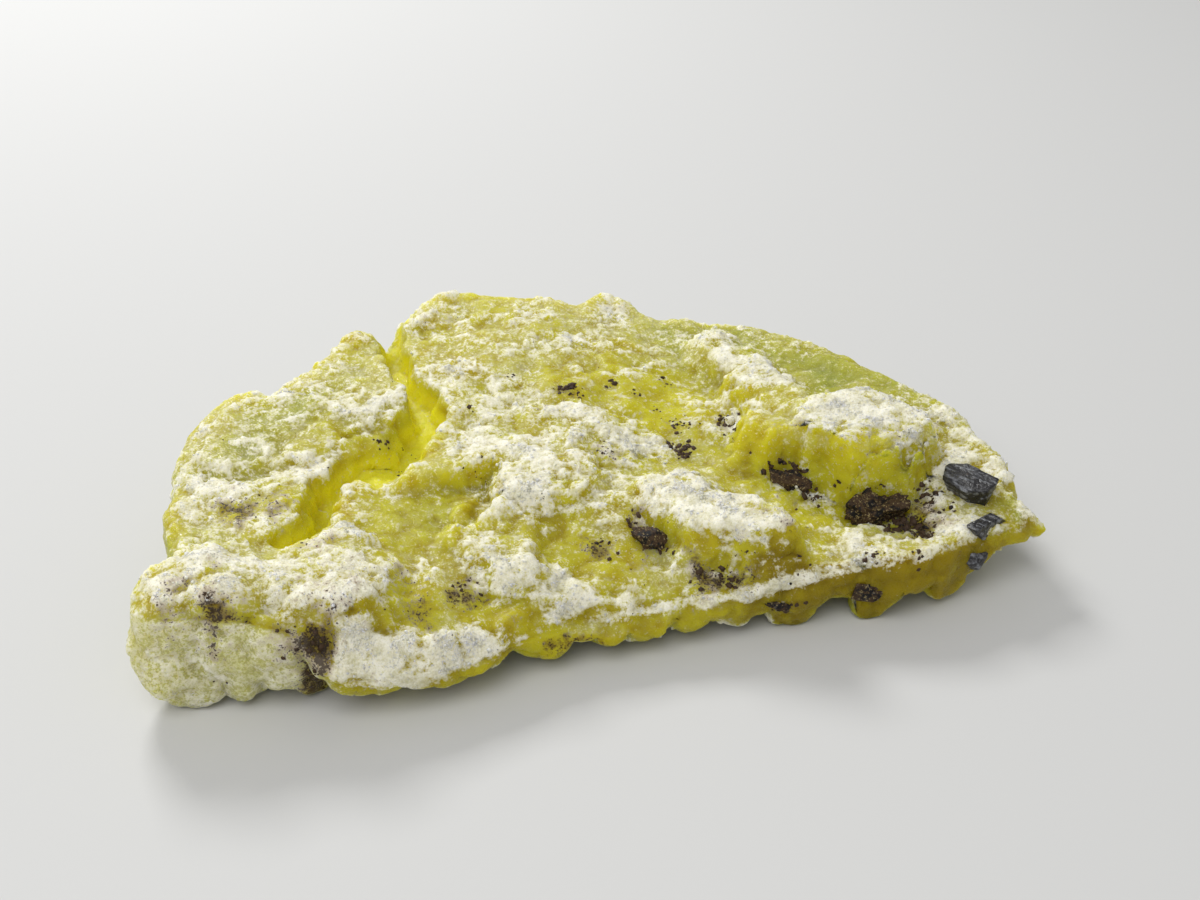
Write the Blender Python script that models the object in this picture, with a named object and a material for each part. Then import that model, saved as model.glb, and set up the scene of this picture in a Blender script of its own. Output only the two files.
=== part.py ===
"""Yellow brucite specimen: a half-moon fragment of a vein crust, with dark grains of its matrix set in it.

The straight side is the broken front, with botryoidal lobes hanging under it. The arched side is the back.
The upper side is a weathered face of overlapping plates, with a winding furrow, a basin and a raised block.

Frame: +X along the front to the pointed end, +Y to the arched back, +Z up. The origin is on the surface that
the specimen rests on, under the middle of its outline. Shapes are worked out in millimetres, and MM turns them
into Blender's metres.
"""

import bmesh
import bpy
import numpy as np
from mathutils import Matrix, Vector

MM = 0.001

# ---- Driving dimensions, in millimetres ----------------------------------------------------------------------

# The rim of the upper side, seen from above, anticlockwise from the left corner: x, y, height.
RIM = (
    (-19.4, -9.2, 5.2),
    (-18.8, -10.2, 5.1),
    (-17.2, -10.4, 5.0),
    (-15.4, -10.8, 4.9),
    (-13.3, -11.3, 4.2),
    (-12.2, -12.0, 3.0),
    (-10.6, -12.5, 2.4),
    (-8.4, -12.6, 2.2),
    (-6.2, -12.2, 2.1),
    (-4.3, -11.5, 2.3),
    (-2.2, -10.9, 2.2),
    (1.3, -10.7, 2.3),
    (5.0, -10.8, 2.6),
    (9.0, -10.6, 3.1),
    (13.0, -11.0, 3.3),
    (16.2, -10.2, 3.4),
    (18.3, -9.9, 3.3),
    (19.2, -9.6, 3.3),
    (18.9, -8.9, 3.6),
    (18.5, -7.9, 4.0),
    (18.9, -6.7, 4.3),
    (18.4, -4.9, 4.7),
    (17.9, -2.7, 4.9),
    (16.9, -0.6, 4.9),
    (15.6, 1.5, 4.9),
    (14.1, 4.3, 4.7),
    (12.2, 6.4, 4.7),
    (10.3, 7.8, 4.7),
    (7.6, 8.5, 4.8),
    (6.2, 9.4, 4.8),
    (5.2, 10.3, 5.4),
    (4.1, 10.9, 5.6),
    (2.7, 10.2, 5.4),
    (1.0, 10.8, 5.6),
    (-1.6, 11.8, 5.7),
    (-3.7, 12.1, 5.9),
    (-5.2, 11.4, 5.7),
    (-6.1, 10.6, 5.3),
    (-6.8, 10.6, 4.5),
    (-7.4, 9.4, 4.3),
    (-8.0, 8.9, 5.3),
    (-9.0, 9.2, 5.8),
    (-10.6, 7.2, 5.6),
    (-12.2, 5.6, 5.6),
    (-13.3, 4.7, 5.3),
    (-14.8, 4.9, 5.6),
    (-16.4, 3.4, 5.4),
    (-17.3, 0.9, 5.3),
    (-17.5, -1.6, 5.3),
    (-18.1, -3.7, 5.3),
    (-17.7, -6.2, 5.4),
    (-18.1, -7.3, 5.3),
    (-18.9, -8.0, 5.6),
)

# The lie of the upper side away from its rim, as a few spot heights: x, y, height.
SPOTS = (
    (-17.9, -9.2, 5.3),
    (-15.4, -8.2, 5.0),
    (-12.9, -10.0, 4.6),
    (-16.6, -4.2, 5.0),
    (-15.4, 2.7, 5.2),
    (-11.4, 3.7, 5.3),
    (-9.4, 7.7, 5.4),
    (-11.4, 0.3, 5.0),
    (-10.4, -9.0, 4.4),
    (-8.6, -5.2, 4.3),
    (-8.0, -8.9, 4.1),
    (-9.8, -11.6, 2.9),
    (-5.6, -11.0, 2.6),
    (-5.0, -5.0, 3.9),
    (-1.9, -4.8, 4.4),
    (-2.6, -8.2, 3.5),
    (-0.9, -9.8, 2.6),
    (3.6, -9.9, 2.9),
    (2.2, -5.6, 4.1),
    (7.1, -8.0, 3.8),
    (7.8, -10.0, 3.1),
    (12.0, -9.8, 3.2),
    (15.6, -9.4, 3.6),
    (18.7, -8.8, 3.3),
    (2.0, 2.0, 5.0),
    (4.5, 5.5, 4.9),
    (6.6, 1.4, 4.3),
    (5.6, -2.5, 4.0),
    (9.0, -6.2, 3.5),
    (12.6, -8.2, 3.2),
    (-3.4, 10.7, 5.5),
    (-3.4, 5.8, 5.5),
    (-4.4, 1.8, 5.0),
    (-1.4, 0.8, 5.0),
    (0.6, 9.8, 5.6),
    (1.0, 5.8, 5.5),
    (4.4, 9.3, 5.2),
    (7.6, 8.2, 4.7),
    (11.6, 5.4, 4.7),
    (14.6, 1.2, 4.8),
    (17.2, -2.8, 4.7),
    (17.6, -6.2, 4.2),
)
SPOT_REACH = 1.9

# The furrow from the notch in the back edge, through the deep hollow, to the left front: x, y, half width, floor.
FURROW = (
    (-7.2, 10.6, 0.20, 4.3),
    (-7.1, 7.3, 0.30, 4.1),
    (-7.0, 5.4, 0.20, 4.0),
    (-6.6, 4.2, 0.10, 4.0),
    (-6.1, 2.2, 0.45, 3.8),
    (-6.9, 0.8, 0.55, 3.6),
    (-7.7, -0.5, 0.55, 3.6),
    (-8.9, -1.1, 0.75, 3.9),
    (-10.3, -1.5, 0.20, 3.7),
    (-11.2, -2.8, 0.20, 3.2),
    (-11.9, -4.4, 0.30, 3.2),
    (-12.8, -5.6, 0.15, 3.4),
    (-13.3, -5.9, 0.10, 3.6),
)
# A second hollow, under the front edge of the middle plate.
MIDDLE_HOLLOW = (
    (-5.9, -3.4, 0.05, 4.1),
    (-5.1, -3.4, 0.15, 3.9),
    (-4.3, -3.1, 0.15, 3.8),
    (-4.4, -4.2, 0.20, 3.8),
    (-5.5, -5.6, 0.20, 3.9),
)
# The dark, rough slit at the foot of the block's front wall.
BLOCK_SLIT = (
    (8.6, -4.6, 0.20, 3.4),
    (10.0, -5.6, 0.25, 3.2),
    (11.2, -7.2, 0.50, 2.8),
    (13.0, -7.6, 0.50, 2.8),
    (13.9, -9.2, 0.30, 2.8),
)
# Pits: x, y, half width, floor.
PITS = (
    ((1.9, -7.0, 0.10, 3.5), (2.4, -8.2, 0.20, 3.4)),
    ((4.3, -9.9, 0.15, 2.8), (5.1, -10.1, 0.10, 2.8)),
)
FURROW_EDGE = 0.6

# Plates that stand above the rest: plan, height at the first point, rise per mm of x and of y, edge width.
PLATES = {
    "middle": (
        ((-6.3, 9.9), (-6.5, 7.1), (-6.6, 5.4), (-6.7, 4.0), (-6.4, 3.1), (-5.5, 2.5), (-5.3, 1.5), (-5.7, 0.3),
         (-6.3, -0.8), (-7.3, -2.0), (-8.0, -2.9), (-6.7, -3.0), (-5.3, -2.7), (-3.7, -2.1), (-3.4, -3.0),
         (-3.5, -4.4), (-2.3, -5.3), (0.0, -5.0), (0.7, -3.8), (0.0, -1.6), (1.1, 1.1), (1.7, 6.3), (1.2, 9.4)),
        5.6, 0.0, 0.06, 0.7,
    ),
    "left": (
        ((-7.7, 8.0), (-7.5, 5.0), (-7.2, 3.7), (-6.8, 2.5), (-7.4, 1.6), (-8.4, 0.3), (-8.8, 0.9),
         (-9.3, 0.9), (-10.1, 0.8), (-10.7, 0.2), (-11.6, -0.5), (-12.4, -0.7), (-13.5, -0.6),
         (-15.2, -1.0), (-16.6, 0.2), (-16.4, 2.6), (-15.0, 3.9), (-12.2, 4.3), (-9.9, 7.5), (-8.6, 8.4)),
        5.7, -0.01, 0.04, 0.9,
    ),
    "left_lobe": (
        ((-10.5, -0.3), (-10.9, -1.0), (-11.5, -1.7), (-12.0, -2.7), (-12.4, -3.6), (-12.9, -4.5),
         (-13.7, -5.3), (-14.2, -5.6), (-15.1, -4.9), (-16.0, -5.6), (-17.2, -5.4), (-17.4, -3.6),
         (-16.6, -2.1), (-14.6, -2.2), (-13.3, -1.4), (-11.8, -1.0)),
        5.0, -0.03, 0.02, 1.2,
    ),
    "front_left": (
        ((-18.6, -9.0), (-17.9, -7.7), (-16.0, -6.7), (-14.2, -7.9), (-13.1, -8.4), (-12.2, -6.6), (-10.7, -5.6),
         (-9.7, -6.9), (-8.9, -8.1), (-9.4, -9.7), (-9.9, -10.3), (-11.8, -10.7), (-15.2, -10.0), (-18.2, -9.7)),
        5.8, -0.10, 0.02, 1.8,
    ),
    "front_middle": (
        ((-6.3, -6.5), (-5.7, -5.1), (-4.7, -4.7), (-3.7, -5.3), (-2.9, -6.2), (-3.0, -7.8), (-3.2, -9.3),
         (-4.0, -9.5), (-4.8, -9.1), (-5.1, -8.3), (-5.8, -7.9)),
        4.5, 0.0, 0.18, 1.1,
    ),
    "front_right": (
        ((2.4, -4.9), (3.2, -4.6), (4.4, -5.2), (5.1, -6.3), (5.9, -7.1), (7.7, -8.5), (7.7, -9.6), (6.8, -10.2),
         (5.9, -9.6), (5.0, -9.2), (4.3, -9.0), (3.5, -8.4), (3.0, -7.1), (2.5, -5.9)),
        4.7, 0.09, 0.0, 1.6,
    ),
    "ridge": (
        ((7.4, 5.3), (7.6, 3.8), (8.3, 1.6), (8.6, -0.2), (8.5, -1.6), (7.9, -2.2), (7.7, -3.1), (8.1, -4.0),
         (9.2, -4.5), (9.8, -4.2), (10.8, -2.8), (10.9, -0.7), (10.4, 1.7), (9.6, 3.8), (8.8, 5.5)),
        5.5, 0.08, -0.03, 1.5,
    ),
    "block": (
        ((9.5, -4.7), (9.5, -5.5), (10.5, -5.9), (11.3, -6.3), (12.5, -6.3), (13.8, -6.5), (14.9, -6.0), (15.5, -5.7),
         (15.6, -5.0), (15.1, -4.4), (14.5, -3.6), (13.5, -2.7), (12.3, -2.4), (11.1, -2.5), (10.2, -2.8)),
        6.3, 0.02, 0.05, 0.9,
    ),
}

# Lobes that hang under the front edge, and the feet that the specimen rests on: x, y, radius, lowest height.
LOBES = (
    (-17.4, -9.2, 1.6, -0.05),
    (-15.4, -9.9, 1.0, 0.25),
    (-12.4, -10.0, 1.3, 0.15),
    (-9.0, -10.2, 1.5, 0.20),
    (-5.8, -10.3, 1.4, 0.25),
    (-3.0, -10.2, 1.1, 0.30),
    (-0.5, -10.1, 0.7, 0.35),
    (1.1, -10.0, 0.9, 0.30),
    (3.1, -9.9, 1.0, 0.45),
    (5.3, -10.0, 0.9, 0.60),
    (7.7, -9.9, 1.15, -0.05),
    (11.2, -10.2, 0.8, -0.05),
    (14.6, -9.9, 1.1, 0.35),
    (-9.5, 4.6, 2.6, -0.15),
    (-1.0, 7.4, 2.8, -0.10),
    (8.6, 4.0, 2.6, -0.15),
    (-14.2, -2.0, 2.4, -0.05),
    (15.0, -3.4, 2.2, -0.05),
    (1.0, -2.0, 3.0, -0.20),
)
REST_LENGTH = 60.0
REST_DEPTH = 4.0
UNDERSIDE = 1.2
FRONT_UNDERSIDE = 1.35
TIP_RISE = 1.3
LOBE_CELL = 3.1
LOBE_DEPTH = 0.9

# How the side wall runs from the rim down to the foot.
FOOT_INSET_FRONT = 0.15
FOOT_INSET_HOLLOW = 3.0
FOOT_INSET_BACK = 1.9
WALL_BULGE = 0.3
WALL_LUMP_SIZE = 1.5
WALL_LUMP = 0.35

# How the upper side meets its rim: how far in the rim's height is felt, how strongly, and the rounding there.
RIM_REACH = 1.3
RIM_HOLD = 0.85
RIM_ROUNDING = 0.28

# Roughness of the upper side: size of the lumps and how far they stand out.
LUMP_SIZES = ((2.3, 0.16), (1.1, 0.12))
EDGE_WANDER = 0.22
EDGE_WANDER_SIZE = 1.3

POLE = (0.5, -1.2)

# Dark grains: x, y, z of the centre, half sizes along the grain, turns about z and x in degrees, flat faces, seed.
GRAINS = {
    "black_grain_upper": ((16.70, -7.45, 3.85), (1.45, 0.80, 0.75), (-62.0, 18.0), 9, 3),
    "black_grain_lower": ((16.65, -9.50, 3.20), (1.20, 0.50, 0.50), (26.0, -8.0), 8, 11),
    "black_grain_wall": ((15.80, -10.25, 2.10), (0.50, 0.50, 0.42), (25.0, 0.0), 8, 5),
    "dark_seam_under_block": ((12.20, -7.25, 3.15), (1.55, 0.75, 0.65), (-16.0, 10.0), 14, 7),
    "dark_grain_ledge": ((9.10, -4.85, 3.60), (1.05, 0.45, 0.50), (-24.0, 0.0), 10, 9),
    "dark_grain_pit": ((2.15, -7.65, 3.45), (0.85, 0.60, 0.60), (-60.0, 12.0), 10, 13),
    "dark_grain_front_lobe": ((11.00, -10.75, 1.75), (0.75, 0.50, 0.45), (10.0, 0.0), 9, 17),
    "dark_streak_front_wall": ((7.20, -10.60, 1.50), (1.05, 0.45, 0.32), (4.0, 0.0), 10, 19),
}
POCKET_GAP = 0.25

# ---- Mesh density ---------------------------------------------------------------------------------------------

COLUMNS = 480
ROWS = 170
UNDERSIDE_SHARE = 0.45
SAMPLES_TOP = 260
SAMPLES_WALL = 70
SAMPLES_UNDER = 120
BODY_TRIANGLES = 8600

# ---- Noise ----------------------------------------------------------------------------------------------------


def hashed(ix, iy, iz, seed):
    """A number from 0 to 1 for each whole-number lattice point."""
    n = (ix * 374761393 + iy * 668265263 + iz * 2147483647 + seed * 144665) & 0xFFFFFFFF
    n = ((n ^ (n >> 13)) * 1274126177) & 0xFFFFFFFF
    n = ((n ^ (n >> 16)) * 2246822519) & 0xFFFFFFFF
    return ((n ^ (n >> 15)) & 0xFFFFFF) / float(0xFFFFFF)


def value_noise(x, y, z, seed):
    """Smooth noise from -1 to 1: lattice values joined by a quintic fade."""
    cell = [np.floor(v).astype(np.int64) for v in (x, y, z)]
    fade = [(t := v - c) * t * t * (t * (t * 6 - 15) + 10) for v, c in zip((x, y, z), cell)]
    total = 0.0
    for corner in range(8):
        step = (corner & 1, (corner >> 1) & 1, corner >> 2)
        weight = 1.0
        for f, s in zip(fade, step):
            weight = weight * (f if s else 1 - f)
        total = total + weight * hashed(*(c + s for c, s in zip(cell, step)), seed)
    return 2 * total - 1


def cell_distance(x, y, cell_size, seed):
    """Distance, in cells, from each point of the plan to the nearest of one jittered centre per cell."""
    u, v = x / cell_size, y / cell_size
    iu, iv = np.floor(u).astype(np.int64), np.floor(v).astype(np.int64)
    nearest = np.full(np.shape(u), 9.0)
    for du in (-1, 0, 1):
        for dv in (-1, 0, 1):
            cu = iu + du + 0.15 + 0.7 * hashed(iu + du, iv + dv, 0 * iu, seed)
            cv = iv + dv + 0.15 + 0.7 * hashed(iu + du, iv + dv, 0 * iu, seed + 1)
            nearest = np.minimum(nearest, np.hypot(u - cu, v - cv))
    return nearest


def smooth_step(low, high, value):
    """0 below low, 1 above high, and an S curve between them. low may be the larger one."""
    t = np.clip((value - low) / (high - low), 0, 1)
    return t * t * (3 - 2 * t)


# ---- Shapes in the plan ---------------------------------------------------------------------------------------


def closed_curve(points, count):
    """count points, evenly spaced, on a closed Catmull-Rom curve through points."""
    p1 = np.array(points, float)
    p0, p2, p3 = np.roll(p1, 1, 0), np.roll(p1, -1, 0), np.roll(p1, -2, 0)
    t = np.linspace(0, 1, 60, endpoint=False)[None, :, None]
    p0, p1, p2, p3 = (p[:, None, :] for p in (p0, p1, p2, p3))
    curve = 0.5 * (2 * p1 + (p2 - p0) * t + (2 * p0 - 5 * p1 + 4 * p2 - p3) * t**2
                   + (3 * p1 - p0 - 3 * p2 + p3) * t**3)
    curve = curve.reshape(-1, curve.shape[-1])
    curve = np.vstack((curve, curve[:1]))
    run = np.r_[0, np.cumsum(np.linalg.norm(np.diff(curve[:, :2], axis=0), axis=1))]
    wanted = np.linspace(0, run[-1], count, endpoint=False)
    return np.stack([np.interp(wanted, run, c) for c in curve.T], axis=1)


def nearest_on_path(path, x, y):
    """Distance to an open path of (x, y, ...) points, and the path's further values at the nearest place."""
    path = np.array(path, float)
    best = np.full(np.shape(x), 1e9)
    values = np.zeros((path.shape[1] - 2,) + np.shape(x))
    for a, b in zip(path[:-1], path[1:]):
        d = b[:2] - a[:2]
        t = np.clip(((x - a[0]) * d[0] + (y - a[1]) * d[1]) / max(d @ d, 1e-9), 0, 1)
        away = np.hypot(x - a[0] - t * d[0], y - a[1] - t * d[1])
        closer = away < best
        best = np.where(closer, away, best)
        for k in range(len(values)):
            values[k] = np.where(closer, a[2 + k] + t * (b[2 + k] - a[2 + k]), values[k])
    return best, values


def outside_of(polygon, x, y):
    """Distance outside a closed polygon, negative inside it."""
    corners = np.array(polygon, float)
    away, _ = nearest_on_path(np.vstack((corners, corners[:1])), x, y)
    within = np.zeros(np.shape(x), bool)
    for a, b in zip(corners, np.roll(corners, -1, 0)):
        if a[1] != b[1]:
            crosses = (a[1] > y) != (b[1] > y)
            within ^= crosses & (x < a[0] + (b[0] - a[0]) * (y - a[1]) / (b[1] - a[1]))
    return np.where(within, -away, away)


# ---- The specimen's faces -------------------------------------------------------------------------------------


def lie(x, y):
    """The smooth height through the spot heights: their mean, weighted by nearness."""
    total, weights = 0.0, 1e-9
    for sx, sy, height in SPOTS:
        near = np.exp(-((x - sx) ** 2 + (y - sy) ** 2) / (2 * SPOT_REACH**2))
        total, weights = total + near * height, weights + near
    return total / weights


def cut_furrow(z, x, y, path, edge=FURROW_EDGE):
    """z lowered to the floor of a furrow along path, with walls edge wide."""
    away, (half_width, floor) = nearest_on_path(path, x, y)
    inside = smooth_step(half_width + edge, half_width, away)
    return z + np.minimum(floor - z, 0) * inside


def raise_plate(z, x, y, plate):
    """z raised to a tilted plate over the plate's plan."""
    plan, height, rise_x, rise_y, edge = plate
    level = height + rise_x * (x - plan[0][0]) + rise_y * (y - plan[0][1])
    inside = smooth_step(0.7 * edge, -0.3 * edge, outside_of(plan, x, y))
    return z + np.maximum(level - z, 0) * inside


def upper_face(x, y):
    """Height of the upper side at each point of the plan."""
    wander = EDGE_WANDER * value_noise(x / EDGE_WANDER_SIZE, y / EDGE_WANDER_SIZE, 0 * x, 21)
    swerve = EDGE_WANDER * value_noise(x / EDGE_WANDER_SIZE, y / EDGE_WANDER_SIZE, 0 * x, 22)
    wx, wy = x + wander, y + swerve
    z = lie(x, y)
    for plate in PLATES.values():
        z = raise_plate(z, wx, wy, plate)
    for size, depth in LUMP_SIZES:
        z = z + depth * value_noise(x / size, y / size, 0 * x, int(10 * size))
    for path in (FURROW, MIDDLE_HOLLOW, BLOCK_SLIT) + PITS:
        z = cut_furrow(z, wx, wy, path)
    return z


def lower_face(x, y):
    """Height of the underside: a field of round lobes, with the front lobes and the feet among them."""
    front = smooth_step(-7.5, -9.3, y)
    hanging = np.sqrt(np.maximum(1 - (cell_distance(x, y, LOBE_CELL, 31) / 0.72) ** 2, 0))
    small = np.sqrt(np.maximum(1 - (cell_distance(x, y, LOBE_CELL / 2.2, 37) / 0.72) ** 2, 0))
    z = UNDERSIDE + (FRONT_UNDERSIDE - UNDERSIDE) * front
    z = z - LOBE_DEPTH * (1 - 0.75 * front) * (0.65 * hanging + 0.35 * small)
    for cx, cy, radius, lowest in LOBES:
        away = np.hypot(x - cx, y - cy) / radius
        ball = lowest + 0.8 * radius * (1 - np.sqrt(np.maximum(1 - away**2, 0)))
        z = np.where(away < 1, np.minimum(z, ball), z)
    z = z + TIP_RISE * smooth_step(15.8, 18.0, x - 0.25 * (y + 9))
    return z


def meridians(columns):
    """Finely sampled lines from the pole of the upper side, over the rim and the wall, to the pole underneath.

    One line for each point of the rim. A column of x, y, z for each sample.
    """
    rim = closed_curve(RIM, columns)
    pole = np.array(POLE)
    outward = (rim[:, :2] - pole) / np.linalg.norm(rim[:, :2] - pole, axis=1)[:, None]

    # Upper side, easing into the rim's own height over its last stretch.
    share = np.linspace(0, 1, SAMPLES_TOP)[:, None]
    x = pole[0] + share * (rim[:, 0] - pole[0])
    y = pole[1] + share * (rim[:, 1] - pole[1])
    to_rim = (1 - share) * np.linalg.norm(rim[:, :2] - pole, axis=1)
    z = upper_face(x, y)
    z = z + (rim[:, 2] - z) * smooth_step(RIM_REACH, 0.0, to_rim) * RIM_HOLD
    z = z - RIM_ROUNDING * smooth_step(0.6, 0.0, to_rim) ** 2
    top = np.stack((x, y, z), -1)

    # Side wall: lumpy, drawn in at its foot except along most of the broken front.
    front = smooth_step(-8.0, -10.0, rim[:, 1])
    hollow = smooth_step(-14.0, -12.6, rim[:, 0]) * smooth_step(-3.0, -6.0, rim[:, 0])
    inset_front = FOOT_INSET_FRONT + (FOOT_INSET_HOLLOW - FOOT_INSET_FRONT) * hollow
    inset = FOOT_INSET_BACK + (inset_front - FOOT_INSET_BACK) * front
    foot = rim[:, :2] - outward * inset[:, None]
    foot_z = lower_face(foot[:, 0], foot[:, 1])
    share = np.linspace(0, 1, SAMPLES_WALL)[1:, None]
    z = top[-1, :, 2] + (foot_z - top[-1, :, 2]) * share
    lump = value_noise(rim[:, 0] / WALL_LUMP_SIZE + 0 * z, rim[:, 1] / WALL_LUMP_SIZE + 0 * z, z / WALL_LUMP_SIZE, 41)
    bulge = (WALL_BULGE + WALL_LUMP * lump) * np.sin(np.pi * share) - inset * share**2
    x = rim[:, 0] + outward[:, 0] * bulge
    y = rim[:, 1] + outward[:, 1] * bulge
    wall = np.stack((x, y, z), -1)

    # Underside, back to its pole.
    share = np.linspace(1, 0, SAMPLES_UNDER)[1:, None]
    x = pole[0] + share * (foot[:, 0] - pole[0])
    y = pole[1] + share * (foot[:, 1] - pole[1])
    under = np.stack((x, y, lower_face(x, y)), -1)
    return np.concatenate((top, wall, under))


def even_rows(lines, rows):
    """The lines sampled again so that rows are evenly spaced along them, and sparser underneath."""
    steps = np.linalg.norm(np.diff(lines, axis=0), axis=2)
    under = np.arange(len(steps)) >= SAMPLES_TOP + SAMPLES_WALL - 1
    steps = steps * np.where(under, UNDERSIDE_SHARE, 1.0)[:, None]
    run = np.vstack((np.zeros(steps.shape[1]), np.cumsum(steps, axis=0)))
    run = run / run[-1]
    run = (run + np.roll(run, 1, 1) + np.roll(run, -1, 1)) / 3
    wanted = np.linspace(0, 1, rows)
    columns = [
        np.stack([np.interp(wanted, run[:, c], lines[:, c, k]) for k in range(3)], -1)
        for c in range(lines.shape[1])
    ]
    return np.stack(columns, axis=1)


# ---- Objects --------------------------------------------------------------------------------------------------


def remove_everything():
    """Clears the scene of its objects."""
    for obj in list(bpy.data.objects):
        bpy.data.objects.remove(obj)


def material(name, colour, roughness):
    """A plain Principled material."""
    made = bpy.data.materials.new(name)
    made.use_nodes = True
    shader = made.node_tree.nodes["Principled BSDF"]
    shader.inputs["Base Color"].default_value = (*colour, 1.0)
    shader.inputs["Roughness"].default_value = roughness
    shader.inputs["Metallic"].default_value = 0.0
    return made


def add_object(name, mesh, finish=None):
    """Links a mesh as an object of that name."""
    obj = bpy.data.objects.new(name, mesh)
    bpy.context.scene.collection.objects.link(obj)
    if finish:
        mesh.materials.append(finish)
    return obj


def ring_mesh(name, grid):
    """A closed mesh of rings joined in turn, with a fan at each end."""
    mesh = bmesh.new()
    rings = [[mesh.verts.new(p * MM) for p in ring] for ring in grid[1:-1]]
    for upper, lower in zip(rings[:-1], rings[1:]):
        for a, b, c, d in zip(upper, lower, lower[1:] + lower[:1], upper[1:] + upper[:1]):
            mesh.faces.new((a, b, c, d))
    for ring, end in ((rings[0], grid[0, 0]), (rings[-1], grid[-1, 0])):
        pole = mesh.verts.new(end * MM)
        for a, b in zip(ring, ring[1:] + ring[:1]):
            mesh.faces.new((pole, a, b))
    bmesh.ops.recalc_face_normals(mesh, faces=mesh.faces)
    data = bpy.data.meshes.new(name)
    mesh.to_mesh(data)
    mesh.free()
    return data


def cut_from(body, cutter):
    """Cuts a shape out of the body."""
    cutter.hide_render = True
    cutter.display_type = "WIRE"
    cut = body.modifiers.new(cutter.name, "BOOLEAN")
    cut.operation = "DIFFERENCE"
    cut.solver = "EXACT"
    cut.object = cutter


def rest_cutter():
    """A block whose upper face is the plane that the feet rest on."""
    mesh = bmesh.new()
    bmesh.ops.create_cube(mesh, size=1.0)
    bmesh.ops.scale(mesh, vec=(REST_LENGTH * MM, REST_LENGTH * MM, REST_DEPTH * MM), verts=mesh.verts)
    bmesh.ops.translate(mesh, vec=(0, 0, -0.5 * REST_DEPTH * MM), verts=mesh.verts)
    data = bpy.data.meshes.new("rest_plane")
    mesh.to_mesh(data)
    mesh.free()
    return add_object("rest_plane", data)


def brucite_body(finish):
    """The brucite itself, thinned to a set number of triangles where it is flat, with flat feet."""
    body = add_object("brucite", ring_mesh("brucite", even_rows(meridians(COLUMNS), ROWS)), finish)
    thin = body.modifiers.new("thin", "DECIMATE")
    thin.use_collapse_triangulate = True
    thin.ratio = BODY_TRIANGLES / (2 * COLUMNS * (ROWS - 2))
    cut_from(body, rest_cutter())
    return body


def grain_planes(half_sizes, faces, seed):
    """Directions and distances of a grain's flat faces, in its own frame."""
    rng = np.random.default_rng(seed)
    normals = rng.normal(size=(faces, 3))
    normals /= np.linalg.norm(normals, axis=1)[:, None]
    reach = np.linalg.norm(normals * np.array(half_sizes), axis=1)
    return normals, reach * rng.uniform(0.72, 0.92, faces)


def grain_solid(name, half_sizes, faces, seed, grow, finish=None):
    """A block cut by flat faces, grown outwards by grow on all of them."""
    mesh = bmesh.new()
    bmesh.ops.create_cube(mesh, size=2.0)
    sides = [(h + grow) * MM for h in half_sizes]
    bmesh.ops.scale(mesh, vec=sides, verts=mesh.verts)
    for normal, distance in zip(*grain_planes(half_sizes, faces, seed)):
        everything = mesh.verts[:] + mesh.edges[:] + mesh.faces[:]
        at = Vector(normal) * (distance + grow) * MM
        cut = bmesh.ops.bisect_plane(mesh, geom=everything, plane_co=at, plane_no=normal, clear_outer=True)
        edges = [e for e in cut["geom_cut"] if isinstance(e, bmesh.types.BMEdge)]
        if edges:
            bmesh.ops.edgenet_fill(mesh, edges=edges)
    bmesh.ops.remove_doubles(mesh, verts=mesh.verts, dist=1e-6)
    bmesh.ops.recalc_face_normals(mesh, faces=mesh.faces)
    data = bpy.data.meshes.new(name)
    mesh.to_mesh(data)
    mesh.free()
    return add_object(name, data, finish)


def place(obj, centre, turns):
    """Puts a grain where it lies, turned about z and then tipped about its own x."""
    obj.location = Vector(centre) * MM
    turn_z, turn_x = np.radians(turns)
    obj.rotation_euler = (Matrix.Rotation(turn_z, 3, "Z") @ Matrix.Rotation(turn_x, 3, "X")).to_euler()


def set_grain(body, name, spec, finish):
    """A dark grain in a pocket of its own in the brucite."""
    centre, half_sizes, turns, faces, seed = spec
    grain = grain_solid(name, half_sizes, faces, seed, 0.0, finish)
    place(grain, centre, turns)
    cutter = grain_solid("pocket_" + name, half_sizes, faces, seed, POCKET_GAP)
    place(cutter, centre, turns)
    cut_from(body, cutter)


def main():
    """Builds the specimen."""
    remove_everything()
    body = brucite_body(material("yellow_brucite", (0.62, 0.58, 0.16), 0.45))
    dark = material("dark_matrix", (0.03, 0.028, 0.026), 0.4)
    for name, spec in GRAINS.items():
        set_grain(body, name, spec, dark)


main()
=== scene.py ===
"""Looks of a yellow brucite specimen: a half-moon fragment of lobed vein crust with a white granular skin.

Shapes are worked out in millimetres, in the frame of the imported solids: +X along the broken front to
the pointed end, +Y to the arched back, +Z up from the plane that the feet rest on. MM turns them into
metres.
"""

import logging
import math
from dataclasses import dataclass, field
from enum import Enum
from itertools import product
from typing import Any

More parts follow.
